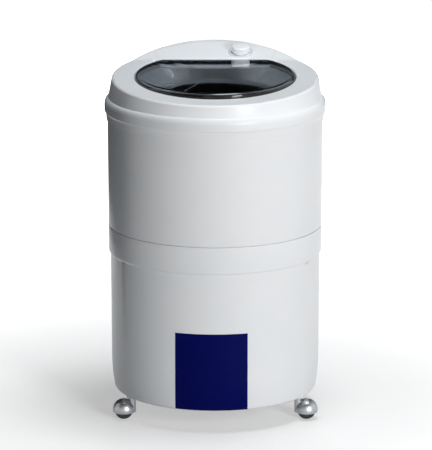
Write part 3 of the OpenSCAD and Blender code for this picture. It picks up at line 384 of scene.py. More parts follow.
    # Enamelled copper wire, wound: close turns 1 mm apart, each raised as a ridge, with a painted warm
    # highlight along each turn in the lighter shade and painted shade in the grooves between them
    shades = ("#6b3115", "#c06a35")
    made["copper"] = patterned(
        finish_surface("enamelled_copper_winding", shades, 8, (2, 0.3, 0.5), (1, 0.02), **metal),
        "ShaderNodeTexWave",
        {"Scale": 0.314, "Distortion": 0.6, "Detail": 2.0},
        shades,
        (0.5, 0.3),
        0.25,
    )
    return made


# ---------------------------------------------------------------- meshes and node trees
def finished(mesh, name, material, body, stands_for=(), sharp=28):
    """A mesh in metres made a piece: doubles merged, faces turned outwards, smooth up to sharp degrees."""
    solid = bmesh.new()
    solid.from_mesh(mesh)
    bmesh.ops.remove_doubles(solid, verts=solid.verts, dist=WELD)
    bmesh.ops.dissolve_degenerate(solid, edges=solid.edges, dist=1e-7)
    bmesh.ops.recalc_face_normals(solid, faces=solid.faces)
    for face in solid.faces:
        face.smooth = True
        face.material_index = 0
    for edge in solid.edges:
        edge.smooth = edge.calc_face_angle(0.0) < math.radians(sharp)
    solid.to_mesh(mesh)
    solid.free()
    mesh.name = name
    mesh.materials.clear()
    mesh.materials.append(material)
    made = bpy.data.objects.new(name, mesh)
    bpy.context.scene.collection.objects.link(made)
    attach(made, body)
    if stands_for:
        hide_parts(*stands_for)
    return made


def mesh_of(points, faces, place=None):
    """A mesh from points in millimetres, moved by a matrix that is also in millimetres."""
    made = bpy.data.meshes.new("shape")
    made.from_pydata([(place or Matrix()) @ Vector(p) for p in points], [], faces)
    made.transform(Matrix.Scale(MM, 4))
    return made


def joined(meshes):
    """Several meshes as one."""
    solid = bmesh.new()
    for mesh in meshes:
        solid.from_mesh(mesh)
    made = bpy.data.meshes.new("joined")
    solid.to_mesh(made)
    solid.free()
    return made


def loft(rings, closed=False):
    """Points and faces through rings of the same count, with capped ends or, closed, joined ones."""
    count = len(rings[0])
    points = [p for ring in rings for p in ring]
    faces = []
    for i in range(len(rings) - (0 if closed else 1)):
        a, b = i * count, (i + 1) % len(rings) * count
        faces += [(a + j, a + (j + 1) % count, b + (j + 1) % count, b + j) for j in range(count)]
    if not closed:
        faces += [tuple(range(count)), tuple(range(len(points) - count, len(points)))]
    return points, faces


def new_tree(name, sockets):
    """A geometry node tree with named inputs, and its input node."""
    tree = bpy.data.node_groups.new(name, "GeometryNodeTree")
    tree.interface.new_socket("Geometry", in_out="OUTPUT", socket_type="NodeSocketGeometry")
    for label, kind, value in sockets + [("Material", "NodeSocketMaterial", None)]:
        socket = tree.interface.new_socket(label, in_out="INPUT", socket_type=kind)
        if value is not None:
            socket.default_value = value
    return tree, add_node(tree, "NodeGroupInput").outputs


def end_tree(tree, geometry, given):
    """Ends a tree with its instances made real and its material set."""
    real = add_node(tree, "GeometryNodeRealizeInstances", {0: geometry})
    inputs = {0: real.outputs[0], "Material": given["Material"]}
    add_node(tree, "NodeGroupOutput", {0: add_node(tree, "GeometryNodeSetMaterial", inputs).outputs[0]})
    return tree


def turned_wall_tree():
    """Turns a closed profile, given as a line of vertices (radius, 0, height), about the Z axis."""
    tree, given = new_tree(
        "turned_wall",
        [
            ("Profile", "NodeSocketObject", None),
            ("Points", "NodeSocketInt", 4),
            ("Segments", "NodeSocketInt", 256),
        ],
    )
    across = add_node(tree, "ShaderNodeMath", {0: given["Segments"], 1: 1}, operation="ADD").outputs[0]
    along = add_node(tree, "ShaderNodeMath", {0: given["Points"], 1: 1}, operation="ADD").outputs[0]
    grid = add_node(
        tree, "GeometryNodeMeshGrid", {"Vertices X": along, "Vertices Y": across, "Size X": 1, "Size Y": 1}
    )
    place = add_node(tree, "GeometryNodeInputPosition").outputs[0]
    spot = add_node(tree, "ShaderNodeSeparateXYZ", {0: place})
    row = add_node(tree, "ShaderNodeMath", {0: spot.outputs[0], 1: 0.5}, operation="ADD").outputs[0]
    row = add_node(tree, "ShaderNodeMath", {0: row, 1: given["Points"]}, operation="MULTIPLY").outputs[0]
    row = add_node(tree, "ShaderNodeMath", {0: row}, operation="ROUND").outputs[0]
    row = add_node(tree, "ShaderNodeMath", {0: row, 1: given["Points"]}, operation="MODULO").outputs[0]
    turn = add_node(tree, "ShaderNodeMath", {0: spot.outputs[1], 1: 0.5}, operation="ADD").outputs[0]
    turn = add_node(tree, "ShaderNodeMath", {0: turn, 1: math.tau}, operation="MULTIPLY").outputs[0]
    shape = add_node(tree, "GeometryNodeObjectInfo", {"Object": given["Profile"]}).outputs["Geometry"]
    asked = {"Geometry": shape, "Value": place, "Index": row}
    sample = add_node(tree, "GeometryNodeSampleIndex", asked, data_type="FLOAT_VECTOR", domain="POINT")
    spun = {"Vector": sample.outputs[0], "Angle": turn}
    point = add_node(tree, "ShaderNodeVectorRotate", spun, rotation_type="Z_AXIS")
    moved = add_node(tree, "GeometryNodeSetPosition", {0: grid.outputs[0], "Position": point.outputs[0]})
    welded = add_node(tree, "GeometryNodeMergeByDistance", {0: moved.outputs[0], "Distance": 1e-6})
    return end_tree(tree, welded.outputs[0], given)


def ring_tree():
    """Sets a part at even turns round the Z axis, each copy turned to face outwards."""
    tree, given = new_tree(
        "ring_of_parts",
        [
            ("Part", "NodeSocketObject", None),
            ("Count", "NodeSocketInt", 6),
            ("Radius", "NodeSocketFloat", 0.1),
            ("First", "NodeSocketFloat", 0.0),
            ("Step", "NodeSocketFloat", 1.0),
        ],
    )
    line = add_node(tree, "GeometryNodeMeshLine", {"Count": given["Count"]}, mode="OFFSET")
    index = add_node(tree, "GeometryNodeInputIndex").outputs[0]
    turn = add_node(
        tree, "ShaderNodeMath", {0: index, 1: given["Step"], 2: given["First"]}, operation="MULTIPLY_ADD"
    ).outputs[0]
    arm = add_node(tree, "ShaderNodeCombineXYZ", {0: given["Radius"]}).outputs[0]
    place = add_node(tree, "ShaderNodeVectorRotate", {"Vector": arm, "Angle": turn}, rotation_type="Z_AXIS")
    set_out = add_node(tree, "GeometryNodeSetPosition", {0: line.outputs[0], "Position": place.outputs[0]})
    part = add_node(tree, "GeometryNodeObjectInfo", {"Object": given["Part"]}).outputs["Geometry"]
    facing = add_node(tree, "ShaderNodeCombineXYZ", {2: turn}).outputs[0]
    copies = add_node(
        tree,
        "GeometryNodeInstanceOnPoints",
        {"Points": set_out.outputs[0], "Instance": part, "Rotation": facing},
    )
    return end_tree(tree, copies.outputs[0], given)


def grown(tree, values, shape=None, shape_name=""):
    """The plain mesh that a tree makes. shape is the mesh of the object it reads, under shape_name."""
    scene = bpy.context.scene.collection.objects
    host = bpy.data.objects.new("host", bpy.data.meshes.new("host"))
    scene.link(host)
    if shape:
        values = {**values, shape_name: bpy.data.objects.new("shape", shape)}
        scene.link(values[shape_name])
    modifier = host.modifiers.new("Shape", "NODES")
    modifier.node_group = tree
    for item in tree.interface.items_tree:
        if item.in_out == "INPUT" and item.name in values:
            modifier[item.identifier] = values[item.name]
    evaluated = host.evaluated_get(bpy.context.evaluated_depsgraph_get())
    made = bpy.data.meshes.new_from_object(evaluated)
    host.modifiers.clear()
    bpy.data.objects.remove(host)
    if shape:
        bpy.data.objects.remove(values[shape_name])
    return made


def turned(profile, material, segments, place=None):
    """A profile of (radius, height) points in mm, turned about Z by the turned wall's tree."""
    line = mesh_of([(r, 0, z) for r, z in profile], [])
    values = {"Points": len(profile), "Segments": segments, "Material": material}
    made = grown(TREES["turned"], values, line, "Profile")
    if place:
        made.transform(in_metres(place))
    return made


def ring_of(part, count, radius, first, material, step=None, place=None):
    """Copies of a mesh round the Z axis by the ring's tree, radius in mm and turns in degrees."""
    values = {
        "Count": count,
        "Radius": radius * MM,
        "First": math.radians(first),
        "Step": math.radians(360 / count if step is None else step),
        "Material": material,
    }
    made = grown(TREES["ring"], values, part, "Part")
    if place:
        made.transform(in_metres(place))
    return made


def in_metres(place):
    """A matrix in millimetres as one in metres."""
    return Matrix.Translation(place.to_translation() * MM) @ place.to_3x3().to_4x4()


# Filled by the first operator and read by the others
TREES = {}
FINISH = {}


# ---------------------------------------------------------------- shells and top
def combined(first, second, operation):
    """One mesh cut, joined or crossed with another."""
    scene = bpy.context.scene.collection.objects
    pair = [bpy.data.objects.new("part", mesh) for mesh in (first, second)]
    for made in pair:
        scene.link(made)
    cut = pair[0].modifiers.new("Cut", "BOOLEAN")
    cut.operation, cut.solver, cut.object = operation, "EXACT", pair[1]
    evaluated = pair[0].evaluated_get(bpy.context.evaluated_depsgraph_get())
    made = bpy.data.meshes.new_from_object(evaluated)
    for old in pair:
        bpy.data.objects.remove(old)
    if not made.polygons:
        raise RuntimeError("a cut left nothing of " + first.name)
    return made


def welded(mesh):
    """A mesh with its doubles merged and its faces turned outwards, ready to cut."""
    solid = bmesh.new()
    solid.from_mesh(mesh)
    bmesh.ops.remove_doubles(solid, verts=solid.verts, dist=WELD)
    bmesh.ops.recalc_face_normals(solid, faces=solid.faces)
    solid.to_mesh(mesh)
    solid.free()
    return mesh


def solid_through(rings, place=None, closed=False):
    """A lofted solid, ready to cut."""
    return welded(mesh_of(*loft(rings, closed), place))


def swung(section, turn):
    """A section of (radius, height) points at a turn in radians about the Z axis."""
    return [(r * math.cos(turn), r * math.sin(turn), z) for r, z in section]


def block(size, place):
    """A box of a size in mm, centred on a place."""
    x, y, z = (s / 2 for s in size)
    points = [(i * x, j * y, k * z) for k in (-1, 1) for i, j in ((-1, -1), (1, -1), (1, 1), (-1, 1))]
    return mesh_of(*loft([points[:4], points[4:]]), place)


def peg(r_foot, r_top, low, high, place=None, steps=64):
    """A straight or tapered round bar between two heights, in mm."""
    rings = [
        [(r * math.cos(i * math.tau / steps), r * math.sin(i * math.tau / steps), z) for i in range(steps)]
        for r, z in ((r_foot, low), (r_top, high))
    ]
    return mesh_of(*loft(rings), place)


def turn_to(angle, radius=0.0, height=0.0):
    """Matrix of a place at a turn, a radius and a height in mm, its X pointing outwards."""
    return Matrix.Rotation(math.radians(angle), 4, "Z") @ Matrix.Translation((radius, 0, height))


def lower_wall(t, inset=0.0):
    """A point of the lower wall, from the foot's corner at 0 to the straight wall at 1."""
    r = TUCK_R + (FOOT_R - TUCK_R) * (1 - t) ** 2
    return (r - inset, BASE_Z + CORNER_R + (TUCK_H - CORNER_R) * t)


def lower_profile():
    """Section of the lower shell: flange, rounded foot, wall, soft step and collar."""
    rise = [(WAIST_R + STEP * ease(k / 8), LEDGE_Z - STEP_DROP * (1 - k / 8)) for k in range(9)]
    outer = (
        [(FLANGE_R, BASE_Z)]
        + arc(FOOT_R - CORNER_R, BASE_Z + CORNER_R, CORNER_R, 270, 360, 12)
        + [lower_wall(k / 12) for k in range(1, 13)]
        + rise
        + [(SHELL_R, SEAM_Z - 1)]
        + arc(SHELL_R - SEAM_ROUND, SEAM_Z - SEAM_ROUND, SEAM_ROUND, 0, 90, 4)
        + [(SHELL_R - WALL, SEAM_Z)]
    )
    inner = (
        [(SHELL_R - WALL, LEDGE_Z), (WAIST_R - WALL, LEDGE_Z), (WAIST_R - WALL, LEDGE_Z - STEP_DROP)]
        + [lower_wall(k / 12, WALL) for k in range(12, 0, -1)]
        + arc(FOOT_R - CORNER_R, BASE_Z + CORNER_R, CORNER_R - WALL, 360, 270, 12)
        + [(FLANGE_R, BASE_Z + WALL)]
    )
    return outer + inner


def ease(t):
    """A smooth step from 0 to 1."""
    return t * t * (3 - 2 * t)


def make_lower_shell(settings):
    """The lower shell: turned wall, caster bosses, latch windows, a port and screw holes."""
    white = FINISH["white"]
    made = welded(turned(lower_profile(), white, settings.segments))
    for angle in STEM_ANGLES:
        boss = peg(BOSS_FOOT_R, BOSS_R, BASE_Z, BASE_Z + BOSS_H, turn_to(angle, CASTER_R))
        made = combined(made, boss, "UNION")
    low, stem_top, screw_top = BASE_Z - 1, BASE_Z + STEM_HOLE_H, BASE_Z + WALL + 1
    cutters = [peg(STEM_HOLE_R, STEM_HOLE_R, low, stem_top, turn_to(a, CASTER_R)) for a in STEM_ANGLES]
    cutters += [block(WINDOW, turn_to(a, WAIST_R, LEDGE_Z - WINDOW_DROP)) for a in STEM_ANGLES]
    screw_turns = range(0, 360, 360 // SCREWS)
    cutters += [peg(SCREW_R, SCREW_R, low, screw_top, turn_to(a, SCREW_RING_R)) for a in screw_turns]
    lay_flat = Matrix.Rotation(math.pi / 2, 4, "Y")
    port = turn_to(PORT_TURN, TUCK_R, BASE_Z + PORT_RISE) @ lay_flat
    cutters.append(peg(PORT_R, PORT_R, -PORT_REACH, PORT_REACH, port))
    made = combined(made, joined(cutters), "DIFFERENCE")
    return finished(made, "lower_shell_skin", white, "cabinet", ["lower_shell"])


def make_upper_shell(settings):
    """The upper shell: a drum with a rounded shoulder over the seam, and three latch hooks."""
    white = FINISH["white"]
    profile = (
        [(SPIGOT_R, LEDGE_Z), (SPIGOT_R, SHOULDER_Z), (SHELL_R - SEAM_ROUND, SHOULDER_Z)]
        + arc(SHELL_R - SEAM_ROUND, SHOULDER_Z + SEAM_ROUND, SEAM_ROUND, 270, 360, 4)
        + [(TOP_R, TOP_Z), (TOP_R - WALL, TOP_Z), (SHELL_R - WALL, SHOULDER_Z + 6)]
        + [(SPIGOT_R - WALL, SHOULDER_Z - 4), (SPIGOT_R - WALL, LEDGE_Z)]
    )
    parts = [turned(profile, white, settings.segments)]
    back, tip, catch = WAIST_R - WALL - HOOK_GAP, LEDGE_Z - HOOK_TIP, WAIST_R - 0.8
    seat, root = LEDGE_Z + HOOK_GAP, LEDGE_Z + 10
    hook = [(back - HOOK_T, tip - 6), (back, tip - 6), (back, tip), (catch, tip + 0.8), (catch, tip + 4)]
    hook += [(back, tip + 4), (back, seat), (SPIGOT_R - 1, seat), (SPIGOT_R - 1, root)]
    hook += [(SPIGOT_R - WALL - 0.2, root), (back - HOOK_T, LEDGE_Z + 2)]
    across = [math.radians(HOOK_TURN * k / 4) for k in range(-4, 5)]
    latch = solid_through([swung(hook, turn) for turn in across])
    parts.append(ring_of(latch, 3, 0, 90, white))
    return finished(joined(parts), "upper_shell_skin", white, "cabinet", ["upper_shell"])


def reach_at(turn, radius, back):
    """Plan radius, at a turn, of an outline that is round in front and straight behind."""
    return min(radius, back / math.sin(turn)) if math.sin(turn) > 0 else radius


def turns_round(corner, segments):
    """Turns in radians round such an outline, one at each of its corners, whose turn is in degrees."""
    front, rear = segments * 3 // 4, segments // 4
    turns = [180 - corner + (180 + 2 * corner) * i / front for i in range(front)]
    turns += [corner + (180 - 2 * corner) * i / rear for i in range(rear)]
    return [math.radians(turn) for turn in turns]


def crown_section(turn):
    """Section of the top at one turn: bead, skirt, rounded rim, sloping top, lip and underside."""
    s, f, hole = math.sin(turn), RIM_FILLET, reach_at(turn, OPEN_R, FOLD_Y)
    rim_z = crown_top((RIM_R - f) * s)
    edge = LIP_ROUND
    bead = (
        [(TOP_R + 0.4, BEAD_Z), (TOP_R + 1.4, BEAD_Z), (TOP_R + 2, BEAD_Z + 0.6)]
        + arc_between((TOP_R + 2.4, BEAD_Z + 3), (BEAD_R, BEAD_Z + 20), 10)
        + [(BEAD_R, BEAD_TOP - 14)]
        + arc_between((BEAD_R, BEAD_TOP - 14), (SKIRT_R, BEAD_TOP + 1), 9)
    )
    rim = arc(RIM_R - f, rim_z - f, f, 0, 90, 12)
    span = hole + edge - RIM_R + f
    top = [(RIM_R - f + span * k / 6, crown_top((RIM_R - f + span * k / 6) * s)) for k in range(1, 7)]
    lip = arc(hole + edge, crown_top(hole * s) - edge, edge, 90, 180, 5)[1:]
    foot = lid_top(hole * s) - LIP_DROP
    under = [RIM_R - f + (hole + WALL - RIM_R + f) * k / 3 for k in range(3, -1, -1)]
    return (
        bead
        + rim
        + top
        + lip
        + [(hole, foot), (hole + WALL, lid_top((hole + WALL) * s) - LIP_DROP)]
        + [(r, crown_top(r * s) - WALL) for r in under]
        + [(RIM_R - WALL, rim_z - f), (SKIRT_R - WALL, BEAD_TOP + 1), (SKIRT_R - WALL, TOP_Z + 3)]
        + [(TOP_R + 0.4, TOP_Z + 3)]
    )


def arc_between(low, high, steps):
    """Most of a quarter ellipse, which leaves low upwards and reaches high with a slight outward run."""
    made, last = [], 82
    end = math.radians(last)
    for k in range(1, steps + 1):
        t = math.radians(last * k / steps)
        reach, rise = (1 - math.cos(t)) / (1 - math.cos(end)), math.sin(t) / math.sin(end)
        made.append((low[0] + (high[0] - low[0]) * reach, low[1] + (high[1] - low[1]) * rise))
    return made


def crown_mesh(segments):
    """The whole top as one lofted ring, its turns set so that the opening's corners stay sharp."""
    turns = turns_round(CORNER_TURN, segments)
    return solid_through([swung(crown_section(turn), turn) for turn in turns], closed=True)


def panel_prism(gap, low):
    """The prism that parts the panel from the cover, between two seams that splay to the rear."""
    x, front, back, high = PANEL_CORNER_X - gap, FOLD_Y - 14, BEAD_R + 10, 900
    wide = x + SEAM_SPLAY * (back - FOLD_Y)
    plan = [(-x, front), (x, front), (x, FOLD_Y), (wide, back), (-wide, back), (-x, FOLD_Y)]
    return solid_through([[(px, py, z) for px, py in plan] for z in (low, high)])


def make_top(settings):
    """The top cover and the control panel, parted from one lofted ring along the seams."""
    white = FINISH["white"]
    cover = combined(crown_mesh(settings.segments), panel_prism(0, PANEL_FOOT_Z), "DIFFERENCE")
    prism = panel_prism(PANEL_GAP, PANEL_FOOT_Z + 0.3)
    panel = combined(crown_mesh(settings.segments), prism, "INTERSECT")
    corner_x = math.sqrt(OPEN_R**2 - HINGE_BACK**2)
    for side in (-1, 1):
        axis = hinge_side(side)
        knuckle = peg(KNUCKLE_R, KNUCKLE_R, corner_x + 2, corner_x + 9, axis, 40)
        pin_hole = peg(PIN_HOLE_R, PIN_HOLE_R, corner_x - 4, corner_x + 7, axis, 32)
        cover = combined(combined(cover, knuckle, "UNION"), pin_hole, "DIFFERENCE")
    panel = combined(panel, peg(SPINDLE_HOLE_R, SPINDLE_HOLE_R, -10, 10, panel_frame()), "DIFFERENCE")
    finished(cover, "top_cover_skin", white, "cabinet", ["top_cover"])
    finished(panel, "control_panel_skin", white, "cabinet", ["control_panel"])


def hinge_side(side):
    """The hinge's axis, its Z pointing out to one side."""
    turn = Matrix.Rotation(side * math.pi / 2, 4, "Y")
    return lid_frame() @ Matrix.Translation((0, HINGE_BACK, -HINGE_ROUND)) @ turn


# ---------------------------------------------------------------- lid and inner collar
def lid_block(inset, drop, segments):
    """The lid's outside, or its inside where inset: a rounded disc crossed with a rounded straight rear."""
    disc = [(0, -drop), (LID_R - inset, -drop)]
    disc += arc(LID_R - LID_ROUND, -LID_ROUND, LID_ROUND - inset, 0, 90, 12) + [(0, -inset)]
    rear = [(-LID_R - 1, -drop - 1), (LID_BACK - inset, -drop - 1)]
    rear += arc(HINGE_BACK, -HINGE_ROUND, HINGE_ROUND - inset, 0, 90, 14) + [(-LID_R - 1, -inset)]
    bar = solid_through([[(x, y, z) for y, z in rear] for x in (-LID_R - 1, LID_R + 1)])
    return combined(welded(turned(disc, FINISH["smoked"], segments)), bar, "INTERSECT")


def make_lid(settings):
    """The smoked lid: a shallow tray with a rounded rim, and the two bosses that hold its pins."""
    lid = combined(
        lid_block(0, LID_EDGE, settings.segments),
        lid_block(LID_T, LID_EDGE + 1, settings.segments),
        "DIFFERENCE",
    )
    root = math.sqrt(LID_R**2 - HINGE_BACK**2) - 17
    for side in (-1, 1):
        axis = lid_frame().inverted() @ hinge_side(side)
        boss = peg(LID_BOSS_R, LID_BOSS_R, root - 4, root + 26, axis, 40)
        lid = combined(lid, combined(boss, lid_block(1, LID_EDGE - 2, 96), "INTERSECT"), "UNION")
        lid = combined(lid, peg(PIN_HOLE_R, PIN_HOLE_R, root, root + 40, axis, 32), "DIFFERENCE")
    lid.transform(in_metres(lid_frame()))
    return finished(lid, "smoked_lid", FINISH["smoked"], "lid", ["lid"], sharp=25)


def make_collar(settings):
    """The grey funnel under the lid: flange, rounded shoulder, soft cone, rolled mouth and neck."""
    flange_z = -LIP_DROP * math.cos(LID_TILT)
    tilt = lid_frame()
    turns = turns_round(math.degrees(math.asin(FUNNEL_BACK / FUNNEL_R)), settings.segments)

    def ring(radius, back, rise):
        """A ring that follows the lid's outline and tilt, at a height over the flange."""
        plan = [(reach_at(t, radius, back), t) for t in turns]
        return [tilt @ Vector((r * math.cos(t), r * math.sin(t), flange_z + rise)) for r, t in plan]

    def cone(out, rise):
        """A ring at a distance outside the funnel's upper edge."""
        return ring(FUNNEL_R + out, FUNNEL_BACK + out, rise)

    def mouth(out, rise):
        """A level, round ring at a distance outside the mouth."""
        r = MOUTH_R + out
        return [Vector((r * math.cos(t), r * math.sin(t), MOUTH_Z + rise)) for t in turns]

    def between(first, last, steps):
        """Rings from near the first to near the last, with room left for a rounded edge at each."""
        shares = [0.04 + 0.9 * k / steps for k in range(steps + 1)]
        return [[a.lerp(b, share) for a, b in zip(first, last)] for share in shares]

    flange_r, flange_back = OPEN_R + 5.5, FOLD_Y + 4.5
    rings = [ring(flange_r, flange_back, -WALL), ring(flange_r, flange_back, 0)]
    rings += [cone(1.2, 0), cone(0.3, -0.3), cone(-0.1, -1)] + between(cone(0, 0), mouth(0, 2), 10)
    rings += [mouth(0.9, 2.4), mouth(0.4, 1.2), mouth(0.3, 0), mouth(0.3, -NECK_H)]
    rings += [mouth(WALL + 0.3, -NECK_H), mouth(WALL + 0.3, 0)]
    rings += between(mouth(WALL, 0), cone(WALL, -2.4), 6) + [cone(WALL + 0.2, -WALL)]
    parts = [solid_through(rings, closed=True)]

    # An upstand lines the cover's lip, up to just below the lid's skirt
    gap, wall, low, high = 0.1, 0.5, -0.5, 8.2
    wide, back = OPEN_R - gap, FOLD_Y - gap
    rings = [ring(wide - wall, back - wall, low), ring(wide, back, low)]
    rings += [ring(wide, back, high), ring(wide - wall, back - wall, high)]
    parts.append(solid_through(rings, closed=True))

    # A rib stands under the lid's skirt, up to just below its edge, and stops short of the hinge's bosses
    low, high, outer, inner = flange_z - 0.4, flange_z + 8.5, LID_R - 0.5, LID_R - 3.5
    rib = [(outer, low), (outer, high - 0.6), (outer - 0.6, high)]
    rib += [(inner + 0.6, high), (inner, high - 0.6), (inner, low)]
    reach = math.degrees(math.asin((LID_BACK - 24) / (LID_R - 2)))
    turns = [math.radians(180 - reach + (180 + 2 * reach) * k / 160) for k in range(161)]
    parts.append(solid_through([swung(rib, turn) for turn in turns], tilt))
    return finished(joined(parts), "funnel_collar", FINISH["collar"], "cabinet", ["inner_collar"])


# ---------------------------------------------------------------- controls and label
def make_controls():
    """The dial with its scale, and the knob with a flared skirt and a line to read it by."""
    panel = panel_frame()
    dial = [(SPINDLE_HOLE_R, 0.05), (DIAL_R, 0.05), (DIAL_R, 0.5)]
    dial += arc(DIAL_R - 0.5, DIAL_T - 0.5, 0.5, 0, 90, 4) + [(SPINDLE_HOLE_R, DIAL_T)]
    finished(turned(dial, FINISH["dial"], 128, panel), "dial_plate", FINISH["dial"], "cabinet", ["dial_ring"])
    ink = FINISH["ink"]
    marks = []
    for step, length in ((SCALE_STEP, 2.2), (SCALE_STEP // 3, 1.2)):
        tick = block((length, TICK_W, 0.1), Matrix.Translation((DIAL_R - 1.0 - length / 2, 0, DIAL_T + 0.01)))
        count = SCALE_SWEEP // step + 1
        marks.append(ring_of(tick, count, 0, SCALE_START - SCALE_SWEEP, ink, step, panel))
    for k in range(0, SCALE_SWEEP // SCALE_STEP + 1, 3):
        turn = math.radians(SCALE_START - SCALE_STEP * k)
        x, y = NUMBER_R * math.cos(turn), NUMBER_R * math.sin(turn)
        place = panel @ Matrix.Translation((x, y, DIAL_T - 0.02))
        marks.append(number(str(k), NUMBER_SIZE, place @ Matrix.Rotation(turn - math.pi / 2, 4, "Z")))
    finished(joined(marks), "dial_marks", ink, "cabinet")

    bore, hub, wall, foot, roof = 6, 9, 16.5, 1.5, KNOB_H - 4
    knob = [(0, roof), (bore, roof), (bore, foot), (hub, foot), (hub, roof - 0.5), (wall, roof - 0.5)]
    knob += [(wall, foot), (KNOB_R - 1, foot), (KNOB_R - 1, 3.6), (KNOB_R - 0.6, 4.1)]
    knob += [(KNOB_R, 4.9), (KNOB_R - 0.3, roof)] + arc(KNOB_R - 3.8, roof, 3.5, 0, 78, 10)
    knob += [(12, KNOB_H - 0.2), (6, KNOB_H + 0.35), (0, KNOB_H + 0.5)]
    body = welded(turned(knob, FINISH["knob"], 160, panel))
    groove = block((1.4, 9, 2.4), panel @ Matrix.Translation((0, KNOB_R - 5.5, KNOB_H)))
    body = combined(body, groove, "DIFFERENCE")
    finished(body, "timer_knob_cap", FINISH["knob"], "timer_knob", ["timer_knob"])
    line = block((1.2, 8.4, 0.3), panel @ Matrix.Translation((0, KNOB_R - 5.6, KNOB_H - 1.1)))
    finished(line, "timer_knob_line", FINISH["dial"], "timer_knob")


def number(words, size, place):
    """A plain number as a thin mesh, size mm high, standing on a place."""
    curve = bpy.data.curves.new("number", "FONT")
    curve.body, curve.size, curve.extrude = words, size, 0.03
    curve.align_x, curve.align_y, curve.resolution_u = "CENTER", "CENTER", 3
    text = bpy.data.objects.new("number", curve)
    bpy.context.scene.collection.objects.link(text)
    evaluated = text.evaluated_get(bpy.context.evaluated_depsgraph_get())
    made = bpy.data.meshes.new_from_object(evaluated)
    bpy.data.objects.remove(text)
    made.transform(place)
    made.transform(Matrix.Scale(MM, 4))
    return made


def make_label(settings):
    """The plain film stuck to the front of the lower shell, which follows the wall."""
    width, low, high = settings.label_width / MM / 2, settings.label_low / MM, settings.label_high / MM
    centre, lift, thick = settings.label_centre / MM, 0.12, 0.25
    columns, rows = 64, 48
    points, faces = [], []
    for k in range(rows + 1):
        z = low + (high - low) * k / rows
        for i in range(columns + 1):
            x = centre - width + 2 * width * i / columns
            points.append(on_wall(x, z, lift))
    count = columns + 1
    front = len(points)
    points += [on_wall(p[0], p[2], lift + thick) for p in points]
    for k in range(rows):
        for i in range(columns):
            a = k * count + i
            faces.append((a, a + 1, a + 1 + count, a + count))
            faces.append((front + a, front + a + count, front + a + 1 + count, front + a + 1))
    edge = list(range(count)) + [k * count + columns for k in range(1, rows + 1)]
    edge += [rows * count + i for i in range(columns - 1, -1, -1)]
    edge += [k * count for k in range(rows - 1, 0, -1)]
    for a, b in zip(edge, edge[1:] + edge[:1]):
        faces.append((a, b, front + b, front + a))
    return finished(mesh_of(points, faces), "front_label", FINISH["label"], "cabinet")


def wall_radius(z):
    """Outer radius of the lower shell at a height."""
    tuck_z = BASE_Z + TUCK_H
    if z >= tuck_z:
        return TUCK_R + (WAIST_R - TUCK_R) * (z - tuck_z) / (LEDGE_Z - STEP_DROP - tuck_z)
    if z >= BASE_Z + CORNER_R:
        return lower_wall((z - BASE_Z - CORNER_R) / (TUCK_H - CORNER_R))[0]
    drop = BASE_Z + CORNER_R - z
    return FOOT_R - CORNER_R + math.sqrt(max(CORNER_R**2 - drop**2, 0))


def on_wall(x, z, lift):
    """The point of the front wall at a place across it and a height, lifted off it."""
    r = wall_radius(z) + lift
    return (x, -math.sqrt(r * r - x * x), z)


# ---------------------------------------------------------------- CAD nodes that stay
SIDES = ("left", "right", "rear")
TURNED_PARTS = ["drive_shaft", "timer_spindle", "hinge_pins", "motor_rotor"]
TURNED_PARTS += ["upper_bearing", "lower_bearing", "motor_bearings"]
NODE_FINISH = {
    "steel": TURNED_PARTS + [f"{part}_{side}" for part in ("stem", "axle") for side in SIDES],
    "zinc": ["pulsator_screw", "pulley_nut", "plate_bolts", "housing_bolts", "motor_bolts", "base_screws"],
    "hood": [f"hood_{side}" for side in SIDES],
    "wheel": [f"wheel_{side}" for side in SIDES],
    "rubber": ["drive_belt", "shaft_seal", "motor_grommets", "drain_pipe", "cord_gland"],
    "nylon": ["motor_pulley", "drain_outlet"],
    "cast": ["bearing_housing", "drive_pulley"],
    "galvanised": ["drive_plate", "capacitor_clip"],
    "copper": ["motor_stator"],
    "can": ["motor_housing"],
    "tub": ["tub", "tub_floor"],
    "collar": ["pulsator"],
    "tray": ["base_tray", "timer_body", "capacitor"],
}


def dress_nodes(settings):
    """Gives each CAD node that stays its finish, with smooth shading up to its real edges."""
    for finish, names in NODE_FINISH.items():
        for name in names:
            node = frame["nodes"][name]
            node.data.materials.clear()
            node.data.materials.append(FINISH[finish])
            for face in node.data.polygons:
                face.use_smooth = True
                face.material_index = 0
            weld = node.modifiers.new("Weld", "WELD")
            weld.merge_threshold = WELD
            split = node.modifiers.new("Edges", "EDGE_SPLIT")
            split.split_angle = settings.edge_angle


# ---------------------------------------------------------------- stage
# A lamp's place: its turn from the front towards the right, its height and its distance, in metres
KEY_AT, SIDE_AT, REAR_AT, SPOT_AT = (30, 1.2, 4.0), (92, 0.9, 2.4), (176, 0.65, 4.0), (-38, 2.1, 3.4)
# The top box's place and the points that lamps and camera aim at, in metres; the spot's cone, in degrees
TOP_AT, TOP_AIM, SPOT_CONE = (0.35, -0.2, 3.4), (0, 0, 0.7), 8
MACHINE_MIDDLE, LID_MIDDLE, CAMERA_AIM = (0, 0, 0.45), (0, 0.02, 0.76), (0, 0, 0.407)
WARM, NEUTRAL, COOL = (1, 0.985, 0.97), (1, 1, 1), (0.95, 0.985, 1)
# Half the floor's width, in mm
FLOOR_HALF = 6000
